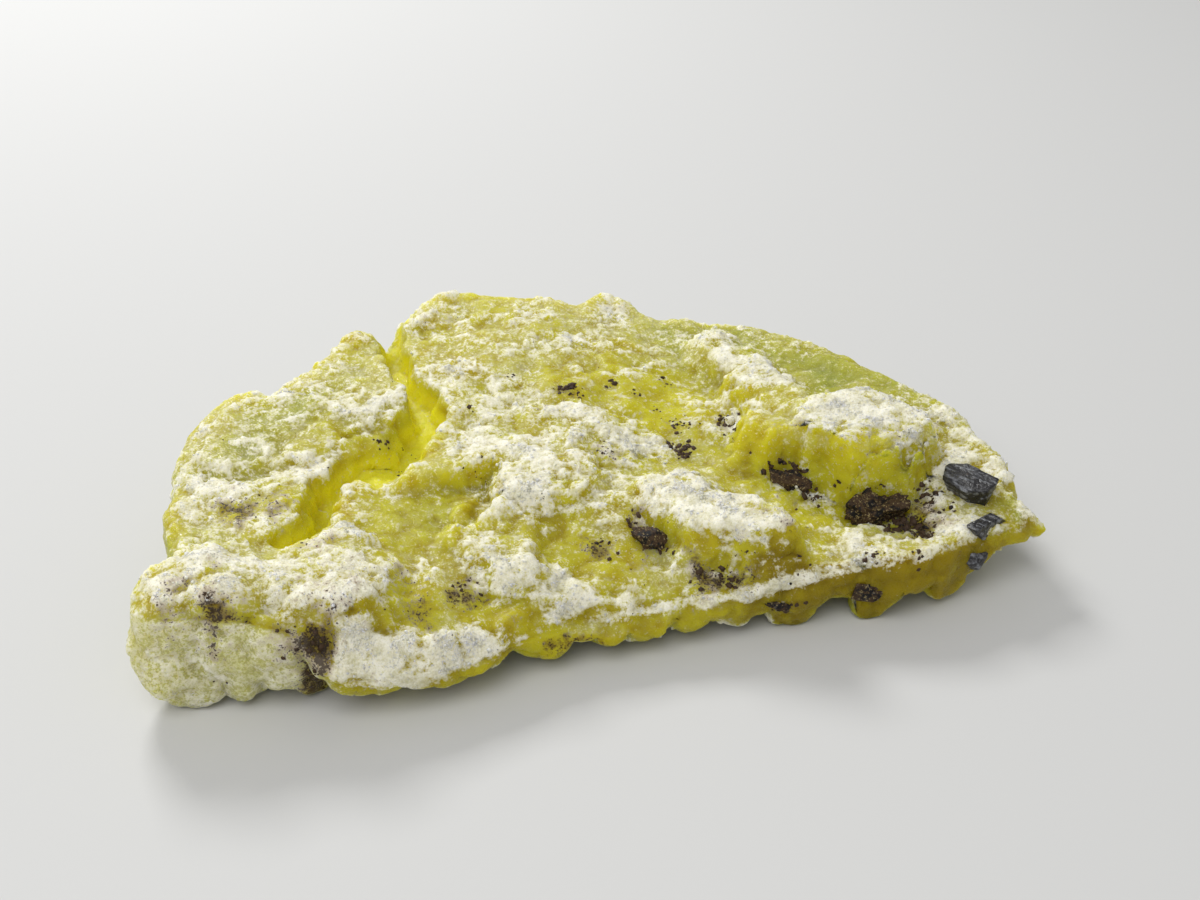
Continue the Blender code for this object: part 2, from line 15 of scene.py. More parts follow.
import bpy
import numpy as np
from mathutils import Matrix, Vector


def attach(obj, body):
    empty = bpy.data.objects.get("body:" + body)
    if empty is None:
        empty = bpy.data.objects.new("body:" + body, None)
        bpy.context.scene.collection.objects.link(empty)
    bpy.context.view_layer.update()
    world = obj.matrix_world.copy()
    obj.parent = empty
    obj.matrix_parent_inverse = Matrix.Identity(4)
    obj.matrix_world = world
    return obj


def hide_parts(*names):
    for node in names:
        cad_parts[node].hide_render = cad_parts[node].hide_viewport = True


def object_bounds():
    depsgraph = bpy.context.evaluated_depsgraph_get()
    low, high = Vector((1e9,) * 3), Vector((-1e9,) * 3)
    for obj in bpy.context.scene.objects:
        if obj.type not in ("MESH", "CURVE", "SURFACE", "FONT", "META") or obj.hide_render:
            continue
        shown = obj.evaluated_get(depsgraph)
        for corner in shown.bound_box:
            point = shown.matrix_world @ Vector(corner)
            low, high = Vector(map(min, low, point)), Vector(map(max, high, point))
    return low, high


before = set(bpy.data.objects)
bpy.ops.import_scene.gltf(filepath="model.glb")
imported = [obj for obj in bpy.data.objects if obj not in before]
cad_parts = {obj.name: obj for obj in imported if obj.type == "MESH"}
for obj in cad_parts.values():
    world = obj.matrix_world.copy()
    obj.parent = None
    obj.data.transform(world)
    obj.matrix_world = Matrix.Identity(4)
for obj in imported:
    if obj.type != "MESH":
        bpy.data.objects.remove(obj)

CAD_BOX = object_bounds()
MM = 0.001
BODY = "root"
LOG = logging.getLogger("brucite")
FAR = 1e9
TINY = 1e-9

Array = np.ndarray


# ---- Noise ---------------------------------------------------------------------------------------

LATTICE_MIX = (374761393, 668265263, 2147483647, 144665)
BIT_MIX = (1274126177, 2246822519)
ALL_BITS = 0xFFFFFFFF
LOW_BITS = 0xFFFFFF
LAYER_FALL = 0.55
BEAD_REACH_SQUARED = 0.64
VEIN_WIDTH = 0.16


def hashed(ix: Array, iy: Array, iz: Array, seed: int) -> Array:
    """A number from 0 to 1 for each whole-number lattice point, by integer mixing.

    Args:
        ix, iy, iz: Lattice coordinates.
        seed: Chooses one of many unrelated lattices.

    Returns:
        The values, in the lattice's shape.
    """
    n = sum(part * mix for part, mix in zip((ix, iy, iz, seed), LATTICE_MIX)) & ALL_BITS
    n = ((n ^ (n >> 13)) * BIT_MIX[0]) & ALL_BITS
    n = ((n ^ (n >> 16)) * BIT_MIX[1]) & ALL_BITS
    return ((n ^ (n >> 15)) & LOW_BITS) / float(LOW_BITS)


def value_noise(x: Array, y: Array, z: Array, seed: int) -> Array:
    """Smooth noise from -1 to 1: the eight lattice values round a point, joined by a quintic fade.

    Args:
        x, y, z: Coordinates in lattice cells.
        seed: Chooses the lattice.

    Returns:
        The noise at each point.
    """
    cell = [np.floor(v).astype(np.int64) for v in (x, y, z)]
    away = [v - c for v, c in zip((x, y, z), cell)]
    fade = [t * t * t * (t * (t * 6 - 15) + 10) for t in away]
    total = 0.0
    for corner in range(8):
        step = (corner & 1, (corner >> 1) & 1, corner >> 2)
        weight = 1.0
        for f, s in zip(fade, step):
            weight = weight * (f if s else 1 - f)
        total = total + weight * hashed(*(c + s for c, s in zip(cell, step)), seed)
    return 2 * total - 1


def layered_noise(points: Array, size: float, layers: int, seed: int) -> Array:
    """Noise of several sizes: each layer is half the size of the one before, and lower by LAYER_FALL.

    Args:
        points: Positions in mm, with x, y, z last.
        size: Size of the largest lumps in mm.
        layers: How many sizes are summed.
        seed: Chooses the lattices.

    Returns:
        Values of about -1 to 1.
    """
    total, height, reach = 0.0, 1.0, 0.0
    for layer in range(layers):
        x, y, z = np.moveaxis(points, -1, 0) * (2**layer / size)
        total = total + height * value_noise(x, y, z, seed + layer)
        reach += height
        height *= LAYER_FALL
    return total / reach


def cell_distance(x: Array, y: Array, cell_size: float, seed: int) -> Array:
    """Distance, in cells, from each point of the plan to the nearest of one jittered centre per cell.

    Args:
        x, y: Plan coordinates in mm.
        cell_size: Size of a cell in mm.
        seed: Chooses the centres.

    Returns:
        The distances.
    """
    u, v = x / cell_size, y / cell_size
    iu, iv = np.floor(u).astype(np.int64), np.floor(v).astype(np.int64)
    nearest = np.full(np.shape(u), FAR)
    for du, dv in product((-1, 0, 1), repeat=2):
        cu = iu + du + 0.15 + 0.7 * hashed(iu + du, iv + dv, 0 * iu, seed)
        cv = iv + dv + 0.15 + 0.7 * hashed(iu + du, iv + dv, 0 * iu, seed + 1)
        nearest = np.minimum(nearest, np.hypot(u - cu, v - cv))
    return nearest


def bead_noise(points: Array, size: float, seed: int) -> Array:
    """Closely packed round beads: 1 at a bead's middle, 0 between beads, by the nearest jittered centre.

    Args:
        points: Positions in mm, with x, y, z last.
        size: Spacing of the beads in mm.
        seed: Chooses the centres.

    Returns:
        Values from 0 to 1.
    """
    scaled = points / size
    cell = np.floor(scaled).astype(np.int64)
    nearest = np.full(points.shape[:-1], FAR)
    for step in product((-1, 0, 1), repeat=3):
        near = cell + step
        lattice = np.moveaxis(near, -1, 0)
        jitter = np.stack([hashed(*lattice, seed + k) for k in range(3)], -1)
        gap = scaled - (near + 0.1 + 0.8 * jitter)
        nearest = np.minimum(nearest, np.einsum("...k,...k->...", gap, gap))
    return np.sqrt(np.maximum(1 - nearest / BEAD_REACH_SQUARED, 0))


def vein_noise(points: Array, size: float, seed: int) -> Array:
    """Thin winding lines: 1 where smooth noise crosses zero, falling to 0 a little way to either side of it.

    Args:
        points: Positions in mm, with x, y, z last.
        size: Size of the noise's lumps in mm, which the lines run between.
        seed: Chooses the lattice.

    Returns:
        Values from 0 to 1.
    """
    x, y, z = np.moveaxis(points, -1, 0) / size
    return 1 - np.minimum(np.abs(value_noise(x, y, z, seed)) / VEIN_WIDTH, 1)


def streaked_noise(points: Array, turn: float, length: float, size: float, seed: int) -> Array:
    """Noise of two sizes that is drawn out along one direction of the plan.

    Args:
        points: Positions in mm, with x, y, z last.
        turn: The streaks' direction, in degrees from +X.
        length, size: Length and width of the widest streaks in mm.
        seed: Chooses the lattices.

    Returns:
        Values of about -1 to 1.
    """
    c, s = math.cos(math.radians(turn)), math.sin(math.radians(turn))
    x, y, z = np.moveaxis(points, -1, 0)
    u, v, w = (x * c + y * s) / length, (y * c - x * s) / size, z / size
    finer = 2.1
    return 0.6 * value_noise(u, v, w, seed) + 0.4 * value_noise(finer * u, finer * v, finer * w, seed + 1)


def smooth_step(low: float, high: float, value: Array) -> Array:
    """0 below low, 1 above high and an S curve between them. low may be the larger one."""
    t = np.clip((value - low) / (high - low), 0, 1)
    return t * t * (3 - 2 * t)


# ---- Shapes in the plan --------------------------------------------------------------------------


@dataclass(frozen=True)
class Patch:
    """A round patch on the upper side: centre, radius and strength, which is negative where it clears."""

    x: float
    y: float
    radius: float
    strength: float

    def at(self, x: Array, y: Array) -> Array:
        """The patch's strength at each point, a bell curve of its radius."""
        return self.strength * np.exp(-((x - self.x) ** 2 + (y - self.y) ** 2) / self.radius**2)


def patches_at(patches: tuple[Patch, ...], x: Array, y: Array, stray: float = 0.5) -> Array:
    """The sum of the patches' strengths at each point, over outlines that noise makes ragged.

    Args:
        patches: The patches.
        x, y: Where, in the plan.
        stray: Half of how far, in mm, the noise moves a point at the most.

    Returns:
        The strengths.
    """
    points = np.stack((x, y, 0 * x), -1)
    x = x + stray * 2 * layered_noise(points, 1.6, 3, 171)
    y = y + stray * 2 * layered_noise(points, 1.6, 3, 181)
    return sum(patch.at(x, y) for patch in patches)


def each(kind: type, *rows: tuple) -> tuple:
    """One object of a kind for each row of its fields."""
    return tuple(kind(*row) for row in rows)


def closed_curve(points: tuple, count: int, crowd: Patch | None = None) -> Array:
    """Points on a closed Catmull-Rom curve, the cubic that passes through each given point.

    Args:
        points: The curve's own points, each x, y and further values.
        count: How many points to return.
        crowd: Where the points lie closer together, by 1 plus its strength.

    Returns:
        An array of count rows.
    """
    p1 = np.array(points, float)
    p0, p2, p3 = np.roll(p1, 1, 0), np.roll(p1, -1, 0), np.roll(p1, -2, 0)
    samples_between = 60
    t = np.linspace(0, 1, samples_between, endpoint=False)[None, :, None]
    p0, p1, p2, p3 = (p[:, None, :] for p in (p0, p1, p2, p3))
    linear, square, cube = p2 - p0, 2 * p0 - 5 * p1 + 4 * p2 - p3, 3 * p1 - p0 - 3 * p2 + p3
    curve = 0.5 * (2 * p1 + linear * t + square * t**2 + cube * t**3)
    curve = curve.reshape(-1, curve.shape[-1])
    curve = np.vstack((curve, curve[:1]))
    steps = np.linalg.norm(np.diff(curve[:, :2], axis=0), axis=1)
    if crowd:
        steps = steps * (1 + crowd.at(curve[1:, 0], curve[1:, 1]))
    run = np.r_[0, np.cumsum(steps)]
    wanted = np.linspace(0, run[-1], count, endpoint=False)
    return np.stack([np.interp(wanted, run, c) for c in curve.T], axis=1)


def nearest_on_path(path: tuple | Array, x: Array, y: Array) -> tuple[Array, Array]:
    """Distance to an open path of straight runs, and the path's further values at the nearest place.

    Args:
        path: Points of x, y and any further values.
        x, y: Where to measure.

    Returns:
        The distances, and one array for each further value.
    """
    path = np.array(path, float)
    best = np.full(np.shape(x), FAR)
    values = np.zeros((path.shape[1] - 2,) + np.shape(x))
    for a, b in zip(path[:-1], path[1:]):
        d = b[:2] - a[:2]
        t = np.clip(((x - a[0]) * d[0] + (y - a[1]) * d[1]) / max(d @ d, TINY), 0, 1)
        away = np.hypot(x - a[0] - t * d[0], y - a[1] - t * d[1])
        closer = away < best
        best = np.where(closer, away, best)
        for k in range(len(values)):
            values[k] = np.where(closer, a[2 + k] + t * (b[2 + k] - a[2 + k]), values[k])
    return best, values


def outside_of(polygon: tuple, x: Array, y: Array) -> Array:
    """Distance outside a closed polygon, negative inside it.

    Args:
        polygon: Corners in order.
        x, y: Where to measure.

    Returns:
        The signed distances.
    """
    corners = np.array(polygon, float)
    away, _ = nearest_on_path(np.vstack((corners, corners[:1])), x, y)
    within = np.zeros(np.shape(x), bool)
    for a, b in zip(corners, np.roll(corners, -1, 0)):
        if a[1] != b[1]:
            crosses = (a[1] > y) != (b[1] > y)
            within ^= crosses & (x < a[0] + (b[0] - a[0]) * (y - a[1]) / (b[1] - a[1]))
    return np.where(within, -away, away)


@dataclass(frozen=True)
class Furrow:
    """A hollow sunk along a path: points of x, y, half width and floor height, and how wide its walls are."""

    path: tuple
    edge: float = 0.6

    def cut(self, z: Array, x: Array, y: Array) -> Array:
        """The height z lowered to the furrow's floor where it is inside the half width, by a smooth step.

        Args:
            z: The height so far.
            x, y: The plan point.

        Returns:
            The new height.
        """
        away, (half_width, floor) = nearest_on_path(self.path, x, y)
        inside = smooth_step(1, 0, (away - half_width) / self.edge)
        return z + np.minimum(floor - z, 0) * inside


@dataclass(frozen=True)
class Plate:
    """A tilted plate that stands above the rest: plan, height at its first corner, rises and edge width."""

    plan: tuple
    height: float
    rise_x: float
    rise_y: float
    edge: float

    def raised(self, z: Array, x: Array, y: Array) -> Array:
        """The height z lifted to the plate's plane inside its plan, by a smooth step across its edge.

        Args:
            z: The height so far.
            x, y: The plan point.

        Returns:
            The new height.
        """
        level = self.height + self.rise_x * (x - self.plan[0][0]) + self.rise_y * (y - self.plan[0][1])
        inside = smooth_step(0.7 * self.edge, -0.3 * self.edge, outside_of(self.plan, x, y))
        return z + np.maximum(level - z, 0) * inside


# ---- The specimen's form -------------------------------------------------------------------------

# The edge of the upper side, from the left end of the front and round by the right: x, y and height.
RIM = (
    (-19.4, -9.2, 5.2), (-18.8, -10.2, 5.1), (-17.2, -10.4, 5.0), (-15.4, -10.8, 4.9),
    (-13.3, -11.3, 4.2), (-12.2, -12.0, 3.0), (-10.6, -12.5, 2.4), (-8.4, -12.6, 2.2), (-6.2, -12.2, 2.1),
    (-4.3, -11.5, 2.3), (-2.2, -10.9, 2.2), (1.3, -10.7, 2.3), (5.0, -10.8, 2.6), (9.0, -10.6, 3.1),
    (13.0, -11.0, 3.3), (16.2, -10.2, 3.4), (18.3, -9.9, 3.3), (19.2, -9.6, 3.3), (18.9, -8.9, 3.6),
    (18.5, -7.9, 4.0), (18.9, -6.7, 4.3), (18.4, -4.9, 4.7), (17.9, -2.7, 4.9), (16.9, -0.6, 4.9),
    (15.6, 1.5, 4.9), (14.1, 4.3, 4.7), (12.2, 6.4, 4.7), (10.3, 7.8, 4.7), (7.6, 8.5, 4.8),
    (6.2, 9.4, 4.8), (5.2, 10.3, 5.4), (4.1, 10.9, 5.6), (2.7, 10.2, 5.4), (1.0, 10.8, 5.6),
    (-1.6, 11.8, 5.7), (-3.7, 12.1, 5.9), (-5.2, 11.4, 5.7), (-6.1, 10.6, 5.3), (-6.8, 10.6, 4.5),
    (-7.4, 9.4, 4.3), (-8.0, 8.9, 5.3), (-9.0, 9.2, 5.8), (-10.6, 7.2, 5.6), (-12.2, 5.6, 5.6),
    (-13.3, 4.7, 5.3), (-14.8, 4.9, 5.6), (-16.4, 3.4, 5.4), (-17.3, 0.9, 5.3), (-17.5, -1.6, 5.3),
    (-18.1, -3.7, 5.3), (-17.7, -6.2, 5.4), (-18.1, -7.3, 5.3), (-18.9, -8.0, 5.6),
)

# Spot heights of the ground that the plates stand on: x, y and height.
SPOTS = (
    (-17.9, -9.2, 5.3), (-15.4, -8.2, 5.0), (-12.9, -10.0, 4.6), (-16.6, -4.2, 5.0), (-15.4, 2.7, 5.2),
    (-11.4, 3.7, 5.3), (-9.4, 7.7, 5.4), (-11.4, 0.3, 5.0), (-10.4, -9.0, 4.4), (-8.6, -5.2, 4.3),
    (-8.0, -8.9, 4.1), (-9.8, -11.6, 2.9), (-5.6, -11.0, 2.6), (-5.0, -5.0, 3.9), (-1.9, -4.8, 4.4),
    (-2.6, -8.2, 3.5), (-0.9, -9.8, 2.6), (3.6, -9.9, 2.9), (2.2, -5.6, 4.1), (7.1, -8.0, 3.8),
    (7.8, -10.0, 3.1), (12.0, -9.8, 3.2), (15.6, -9.4, 3.6), (18.7, -8.8, 3.3), (2.0, 2.0, 5.0),
    (4.5, 5.5, 4.9), (6.6, 1.4, 4.3), (5.6, -2.5, 4.0), (9.0, -6.2, 3.5), (12.6, -8.2, 3.2),
    (-3.4, 10.7, 5.5), (-3.4, 5.8, 5.5), (-4.4, 1.8, 5.0), (-1.4, 0.8, 5.0), (0.6, 9.8, 5.6),
    (1.0, 5.8, 5.5), (4.4, 9.3, 5.2), (7.6, 8.2, 4.7), (11.6, 5.4, 4.7), (14.6, 1.2, 4.8),
    (17.2, -2.8, 4.7), (17.6, -6.2, 4.2),
)

# Round lobes that hang under the specimen: x, y, radius and lowest height.
LOBES = (
    (-17.4, -9.2, 1.6, -0.05), (-15.4, -9.9, 1.0, 0.25), (-12.4, -10.0, 1.3, 0.15),
    (-9.0, -10.2, 1.5, 0.20), (-5.8, -10.3, 1.4, 0.25), (-3.0, -10.2, 1.1, 0.30),
    (-0.5, -10.1, 0.7, 0.35), (1.1, -10.0, 0.9, 0.30), (3.1, -9.9, 1.0, 0.45), (5.3, -10.0, 0.9, 0.60),
    (7.7, -9.9, 1.15, -0.05), (11.2, -10.2, 0.8, -0.05), (14.6, -9.9, 1.1, 0.35), (-9.5, 4.6, 2.6, -0.15),
    (-1.0, 7.4, 2.8, -0.10), (8.6, 4.0, 2.6, -0.15), (-14.2, -2.0, 2.4, -0.05), (15.0, -3.4, 2.2, -0.05),
    (1.0, -2.0, 3.0, -0.20),
)

MAIN_FURROW = Furrow(
    (
        (-7.2, 10.6, 0.20, 4.3), (-7.1, 7.3, 0.30, 4.1), (-7.0, 5.4, 0.20, 4.0), (-6.6, 4.2, 0.10, 4.0),
        (-6.1, 2.2, 0.45, 3.8), (-6.9, 0.8, 0.55, 3.6), (-7.7, -0.5, 0.55, 3.6), (-8.9, -1.1, 0.75, 3.9),
        (-10.3, -1.5, 0.20, 3.7), (-11.2, -2.8, 0.20, 3.2), (-11.9, -4.4, 0.30, 3.2),
        (-12.8, -5.6, 0.15, 3.4), (-13.3, -5.9, 0.10, 3.6),
    )
)
MIDDLE_HOLLOW = Furrow(
    (
        (-5.9, -3.4, 0.05, 4.1), (-5.1, -3.4, 0.15, 3.9), (-4.3, -3.1, 0.15, 3.8),
        (-4.4, -4.2, 0.20, 3.8), (-5.5, -5.6, 0.20, 3.9),
    )
)
BLOCK_SLIT = Furrow(
    (
        (8.6, -4.6, 0.20, 3.4), (10.0, -5.6, 0.25, 3.2), (11.2, -7.2, 0.50, 2.8), (13.0, -7.6, 0.50, 2.8),
        (13.9, -9.2, 0.30, 2.8),
    )
)
LUMP_PIT = Furrow(((1.9, -7.0, 0.10, 3.5), (2.4, -8.2, 0.20, 3.4)))
RIM_PIT = Furrow(((4.3, -9.9, 0.15, 2.8), (5.1, -10.1, 0.10, 2.8)))
HOLLOWS = (MAIN_FURROW, MIDDLE_HOLLOW, BLOCK_SLIT, LUMP_PIT, RIM_PIT)

MIDDLE_PLATE = Plate(
    (
        (-6.3, 9.9), (-6.5, 7.1), (-6.6, 5.4), (-6.7, 4.0), (-6.4, 3.1), (-5.5, 2.5), (-5.3, 1.5),
        (-5.7, 0.3), (-6.3, -0.8), (-7.3, -2.0), (-8.0, -2.9), (-6.7, -3.0), (-5.3, -2.7), (-3.7, -2.1),
        (-3.4, -3.0), (-3.5, -4.4), (-2.3, -5.3), (0.0, -5.0), (0.7, -3.8), (0.0, -1.6), (1.1, 1.1),
        (1.7, 6.3), (1.2, 9.4),
    ),
    height=5.6, rise_x=0.0, rise_y=0.06, edge=0.7,
)
LEFT_PLATE = Plate(
    (
        (-7.7, 8.0), (-7.5, 5.0), (-7.2, 3.7), (-6.8, 2.5), (-7.4, 1.6), (-8.4, 0.3), (-8.8, 0.9),
        (-9.3, 0.9), (-10.1, 0.8), (-10.7, 0.2), (-11.6, -0.5), (-12.4, -0.7), (-13.5, -0.6),
        (-15.2, -1.0), (-16.6, 0.2), (-16.4, 2.6), (-15.0, 3.9), (-12.2, 4.3), (-9.9, 7.5), (-8.6, 8.4),
    ),
    height=5.7, rise_x=-0.01, rise_y=0.04, edge=0.9,
)
LEFT_LOBE = Plate(
    (
        (-10.5, -0.3), (-10.9, -1.0), (-11.5, -1.7), (-12.0, -2.7), (-12.4, -3.6), (-12.9, -4.5),
        (-13.7, -5.3), (-14.2, -5.6), (-15.1, -4.9), (-16.0, -5.6), (-17.2, -5.4), (-17.4, -3.6),
        (-16.6, -2.1), (-14.6, -2.2), (-13.3, -1.4), (-11.8, -1.0),
    ),
    height=5.0, rise_x=-0.03, rise_y=0.02, edge=1.2,
)
FRONT_LEFT_PLATE = Plate(
    (
        (-18.6, -9.0), (-17.9, -7.7), (-16.0, -6.7), (-14.2, -7.9), (-13.1, -8.4), (-12.2, -6.6),
        (-10.7, -5.6), (-9.7, -6.9), (-8.9, -8.1), (-9.4, -9.7), (-9.9, -10.3), (-11.8, -10.7),
        (-15.2, -10.0), (-18.2, -9.7),
    ),
    height=5.8, rise_x=-0.10, rise_y=0.02, edge=1.8,
)
FRONT_MIDDLE_LUMP = Plate(
    (
        (-6.3, -6.5), (-5.7, -5.1), (-4.7, -4.7), (-3.7, -5.3), (-2.9, -6.2), (-3.0, -7.8), (-3.2, -9.3),
        (-4.0, -9.5), (-4.8, -9.1), (-5.1, -8.3), (-5.8, -7.9),
    ),
    height=4.5, rise_x=0.0, rise_y=0.18, edge=1.1,
)
FRONT_RIGHT_LUMP = Plate(
    (
        (2.4, -4.9), (3.2, -4.6), (4.4, -5.2), (5.1, -6.3), (5.9, -7.1), (7.7, -8.5), (7.7, -9.6),
        (6.8, -10.2), (5.9, -9.6), (5.0, -9.2), (4.3, -9.0), (3.5, -8.4), (3.0, -7.1), (2.5, -5.9),
    ),
    height=4.7, rise_x=0.09, rise_y=0.0, edge=1.6,
)
RIDGE = Plate(
    (
        (7.4, 5.3), (7.6, 3.8), (8.3, 1.6), (8.6, -0.2), (8.5, -1.6), (7.9, -2.2), (7.7, -3.1),
        (8.1, -4.0), (9.2, -4.5), (9.8, -4.2), (10.8, -2.8), (10.9, -0.7), (10.4, 1.7), (9.6, 3.8),
        (8.8, 5.5),
    ),
    height=5.5, rise_x=0.08, rise_y=-0.03, edge=1.5,
)
BLOCK = Plate(
    (
        (9.5, -4.7), (9.5, -5.5), (10.5, -5.9), (11.3, -6.3), (12.5, -6.3), (13.8, -6.5), (14.9, -6.0),
        (15.5, -5.7), (15.6, -5.0), (15.1, -4.4), (14.5, -3.6), (13.5, -2.7), (12.3, -2.4), (11.1, -2.5),
        (10.2, -2.8),
    ),
    height=6.3, rise_x=0.02, rise_y=0.05, edge=0.9,
)
PLATES = (
    MIDDLE_PLATE, LEFT_PLATE, LEFT_LOBE, FRONT_LEFT_PLATE, FRONT_MIDDLE_LUMP, FRONT_RIGHT_LUMP, RIDGE, BLOCK,
)


@dataclass
class SlabForm:
    """The fragment's closed surface, as a function of the way round its rim and the way over its section."""

    pole: tuple[float, float] = (0.5, -1.2)
    spot_reach: float = 1.9
    lumps: tuple = ((2.3, 0.16, 23), (1.1, 0.12, 11))
    edge_wander: float = 0.22
    edge_wander_size: float = 1.3
    edge_fray: float = 0.20
    edge_fray_size: float = 0.5
    rim_reach: float = 1.3
    rim_hold: float = 0.85
    rim_rounding: float = 0.28
    rounding_reach: float = 0.6
    underside: float = 1.2
    front_underside: float = 1.35
    tip_rise: float = 1.3
    lobe_cell: float = 3.1
    lobe_depth: float = 0.9
    cap_radius: float = 0.72
    foot_inset_front: float = 0.15
    foot_inset_hollow: float = 3.0
    foot_inset_back: float = 1.9
    wall_bulge: float = 0.3
    wall_lump_size: float = 1.5
    wall_lump: float = 0.35
    columns: int = 1250
    rows: int = 350
    samples_top: int = 420
    samples_wall: int = 110
    samples_under: int = 130
    crowd: Patch = Patch(19.0, -8.0, 4.5, 2.0)
    underside_share: float = 0.35

    def lie(self, x: Array, y: Array) -> Array:
        """The smooth height through the spot heights: their mean, weighted by a bell curve of distance.

        Args:
            x, y: The plan point.

        Returns:
            The height.
        """
        total, weights = 0.0, TINY
        for sx, sy, height in SPOTS:
            near = np.exp(-((x - sx) ** 2 + (y - sy) ** 2) / (2 * self.spot_reach**2))
            total, weights = total + near * height, weights + near
        return total / weights

    def wandered(self, x: Array, y: Array, rise: Array | float = 0.0) -> tuple[Array, Array]:
        """The plan point moved by noise of two sizes, so that edges drawn as straight runs turn ragged.

        Args:
            x, y: The plan point.
            rise: Height above the lie, so that a steep wall is ragged up its face as well as along it.

        Returns:
            The moved x and y.
        """
        u, v, w = x / self.edge_wander_size, y / self.edge_wander_size, 0 * x + rise / self.edge_wander_size
        a, b, c = x / self.edge_fray_size, y / self.edge_fray_size, 0 * x + 0.6 * rise / self.edge_fray_size
        across = self.edge_wander * value_noise(u, v, w, 21) + self.edge_fray * value_noise(a, b, c, 23)
        along = self.edge_wander * value_noise(u, v, w, 22) + self.edge_fray * value_noise(a, b, c, 24)
        return x + across, y + along

    def upper_face(self, x: Array, y: Array) -> Array:
        """Height of the upper side: the lie, then plates as maxima, lumps as noise, and furrows as minima.

        The plates are raised twice. The first time only finds how far each point stands above the lie.

        Args:
            x, y: The plan point.

        Returns:
            The height.
        """
        lie = self.lie(x, y)
        z = lie
        wx, wy = self.wandered(x, y)
        for plate in PLATES:
            z = plate.raised(z, wx, wy)
        wx, wy = self.wandered(x, y, z - lie)
        z = lie
        for plate in PLATES:
            z = plate.raised(z, wx, wy)
        for size, height, seed in self.lumps:
            z = z + height * value_noise(x / size, y / size, 0 * x, seed)
        for hollow in HOLLOWS:
            z = hollow.cut(z, wx, wy)
        return z

    def caps(self, x: Array, y: Array, cell: float, seed: int) -> Array:
        """Round caps: 1 at the jittered centre of each cell of the plan, 0 beyond the cap's radius."""
        return np.sqrt(np.maximum(1 - (cell_distance(x, y, cell, seed) / self.cap_radius) ** 2, 0))

    def lower_face(self, x: Array, y: Array) -> Array:
        """Height of the underside: round caps of two sizes and the listed lobes, and no lower than 0.

        Args:
            x, y: The plan point.

        Returns:
            The height.
        """
        front = smooth_step(-7.5, -9.3, y)
        small_cell = self.lobe_cell / 2.2
        hanging = 0.65 * self.caps(x, y, self.lobe_cell, 31) + 0.35 * self.caps(x, y, small_cell, 37)
        z = self.underside + (self.front_underside - self.underside) * front
        z = z - self.lobe_depth * (1 - 0.75 * front) * hanging
        for cx, cy, radius, lowest in LOBES:
            away = np.hypot(x - cx, y - cy) / radius
            ball = lowest + 0.8 * radius * (1 - np.sqrt(np.maximum(1 - away**2, 0)))
            z = np.where(away < 1, np.minimum(z, ball), z)
        z = z + self.tip_rise * smooth_step(15.8, 18.0, x - 0.25 * (y + 9))
        return np.maximum(z, 0)

    def from_pole(self, ends: Array, share: Array) -> tuple[Array, ...]:
        """The plan points, x and y, at a share of the straight lines from the pole to their ends."""
        return tuple(self.pole[k] + share * (ends[:, k] - self.pole[k]) for k in (0, 1))

    def meridians(self) -> Array:
        """Lines from the pole of the upper side, over the rim and down the wall, to the pole underneath.

        Over the top and underneath, a line is straight in the plan and takes its height from the two faces.
        Down the wall it goes straight from rim to foot, pushed out by a half sine and by noise.

        Returns:
            An array of samples x columns x 3, in mm.
        """
        rim = closed_curve(RIM, self.columns, self.crowd)
        reach = np.linalg.norm(rim[:, :2] - np.array(self.pole), axis=1)
        outward = (rim[:, :2] - np.array(self.pole)) / reach[:, None]

        share = np.linspace(0, 1, self.samples_top)[:, None]
        x, y = self.from_pole(rim, share)
        to_rim = (1 - share) * reach
        z = self.upper_face(x, y)
        z = z + (rim[:, 2] - z) * smooth_step(self.rim_reach, 0.0, to_rim) * self.rim_hold
        z = z - self.rim_rounding * smooth_step(self.rounding_reach, 0.0, to_rim) ** 2
        top = np.stack((x, y, z), -1)

        front = smooth_step(-8.0, -10.0, rim[:, 1])
        hollow = smooth_step(-14.0, -12.6, rim[:, 0]) * smooth_step(-3.0, -6.0, rim[:, 0])
        inset_front = self.foot_inset_front + (self.foot_inset_hollow - self.foot_inset_front) * hollow
        inset = self.foot_inset_back + (inset_front - self.foot_inset_back) * front
        foot = rim[:, :2] - outward * inset[:, None]
        foot_z = self.lower_face(foot[:, 0], foot[:, 1])
        share = np.linspace(0, 1, self.samples_wall)[1:, None]
        z = top[-1, :, 2] + (foot_z - top[-1, :, 2]) * share
        u, v = (rim[:, k] / self.wall_lump_size + 0 * z for k in range(2))
        lump = value_noise(u, v, z / self.wall_lump_size, 41)
        bulge = (self.wall_bulge + self.wall_lump * lump) * np.sin(np.pi * share) - inset * share**2
        wall = np.stack((rim[:, 0] + outward[:, 0] * bulge, rim[:, 1] + outward[:, 1] * bulge, z), -1)

        share = np.linspace(1, 0, self.samples_under)[1:, None]
        x, y = self.from_pole(foot, share)
        under = np.stack((x, y, self.lower_face(x, y)), -1)
        return np.concatenate((top, wall, under))

    def grid(self) -> Array:
        """The meridians sampled again, evenly by length, and more sparsely underneath.

        Returns:
            An array of rows x columns x 3, in mm.
        """
        lines = self.meridians()
        steps = np.linalg.norm(np.diff(lines, axis=0), axis=2)
        under = np.arange(len(steps)) >= self.samples_top + self.samples_wall - 1
        steps = steps * np.where(under, self.underside_share, 1.0)[:, None]
        run = np.vstack((np.zeros(steps.shape[1]), np.cumsum(steps, axis=0)))
        run = run / run[-1]
        run = (run + np.roll(run, 1, 1) + np.roll(run, -1, 1)) / 3
        wanted = np.linspace(0, 1, self.rows)
        columns = [
            np.stack([np.interp(wanted, run[:, c], lines[:, c, k]) for k in range(3)], -1)
            for c in range(lines.shape[1])
        ]
        return np.stack(columns, axis=1)


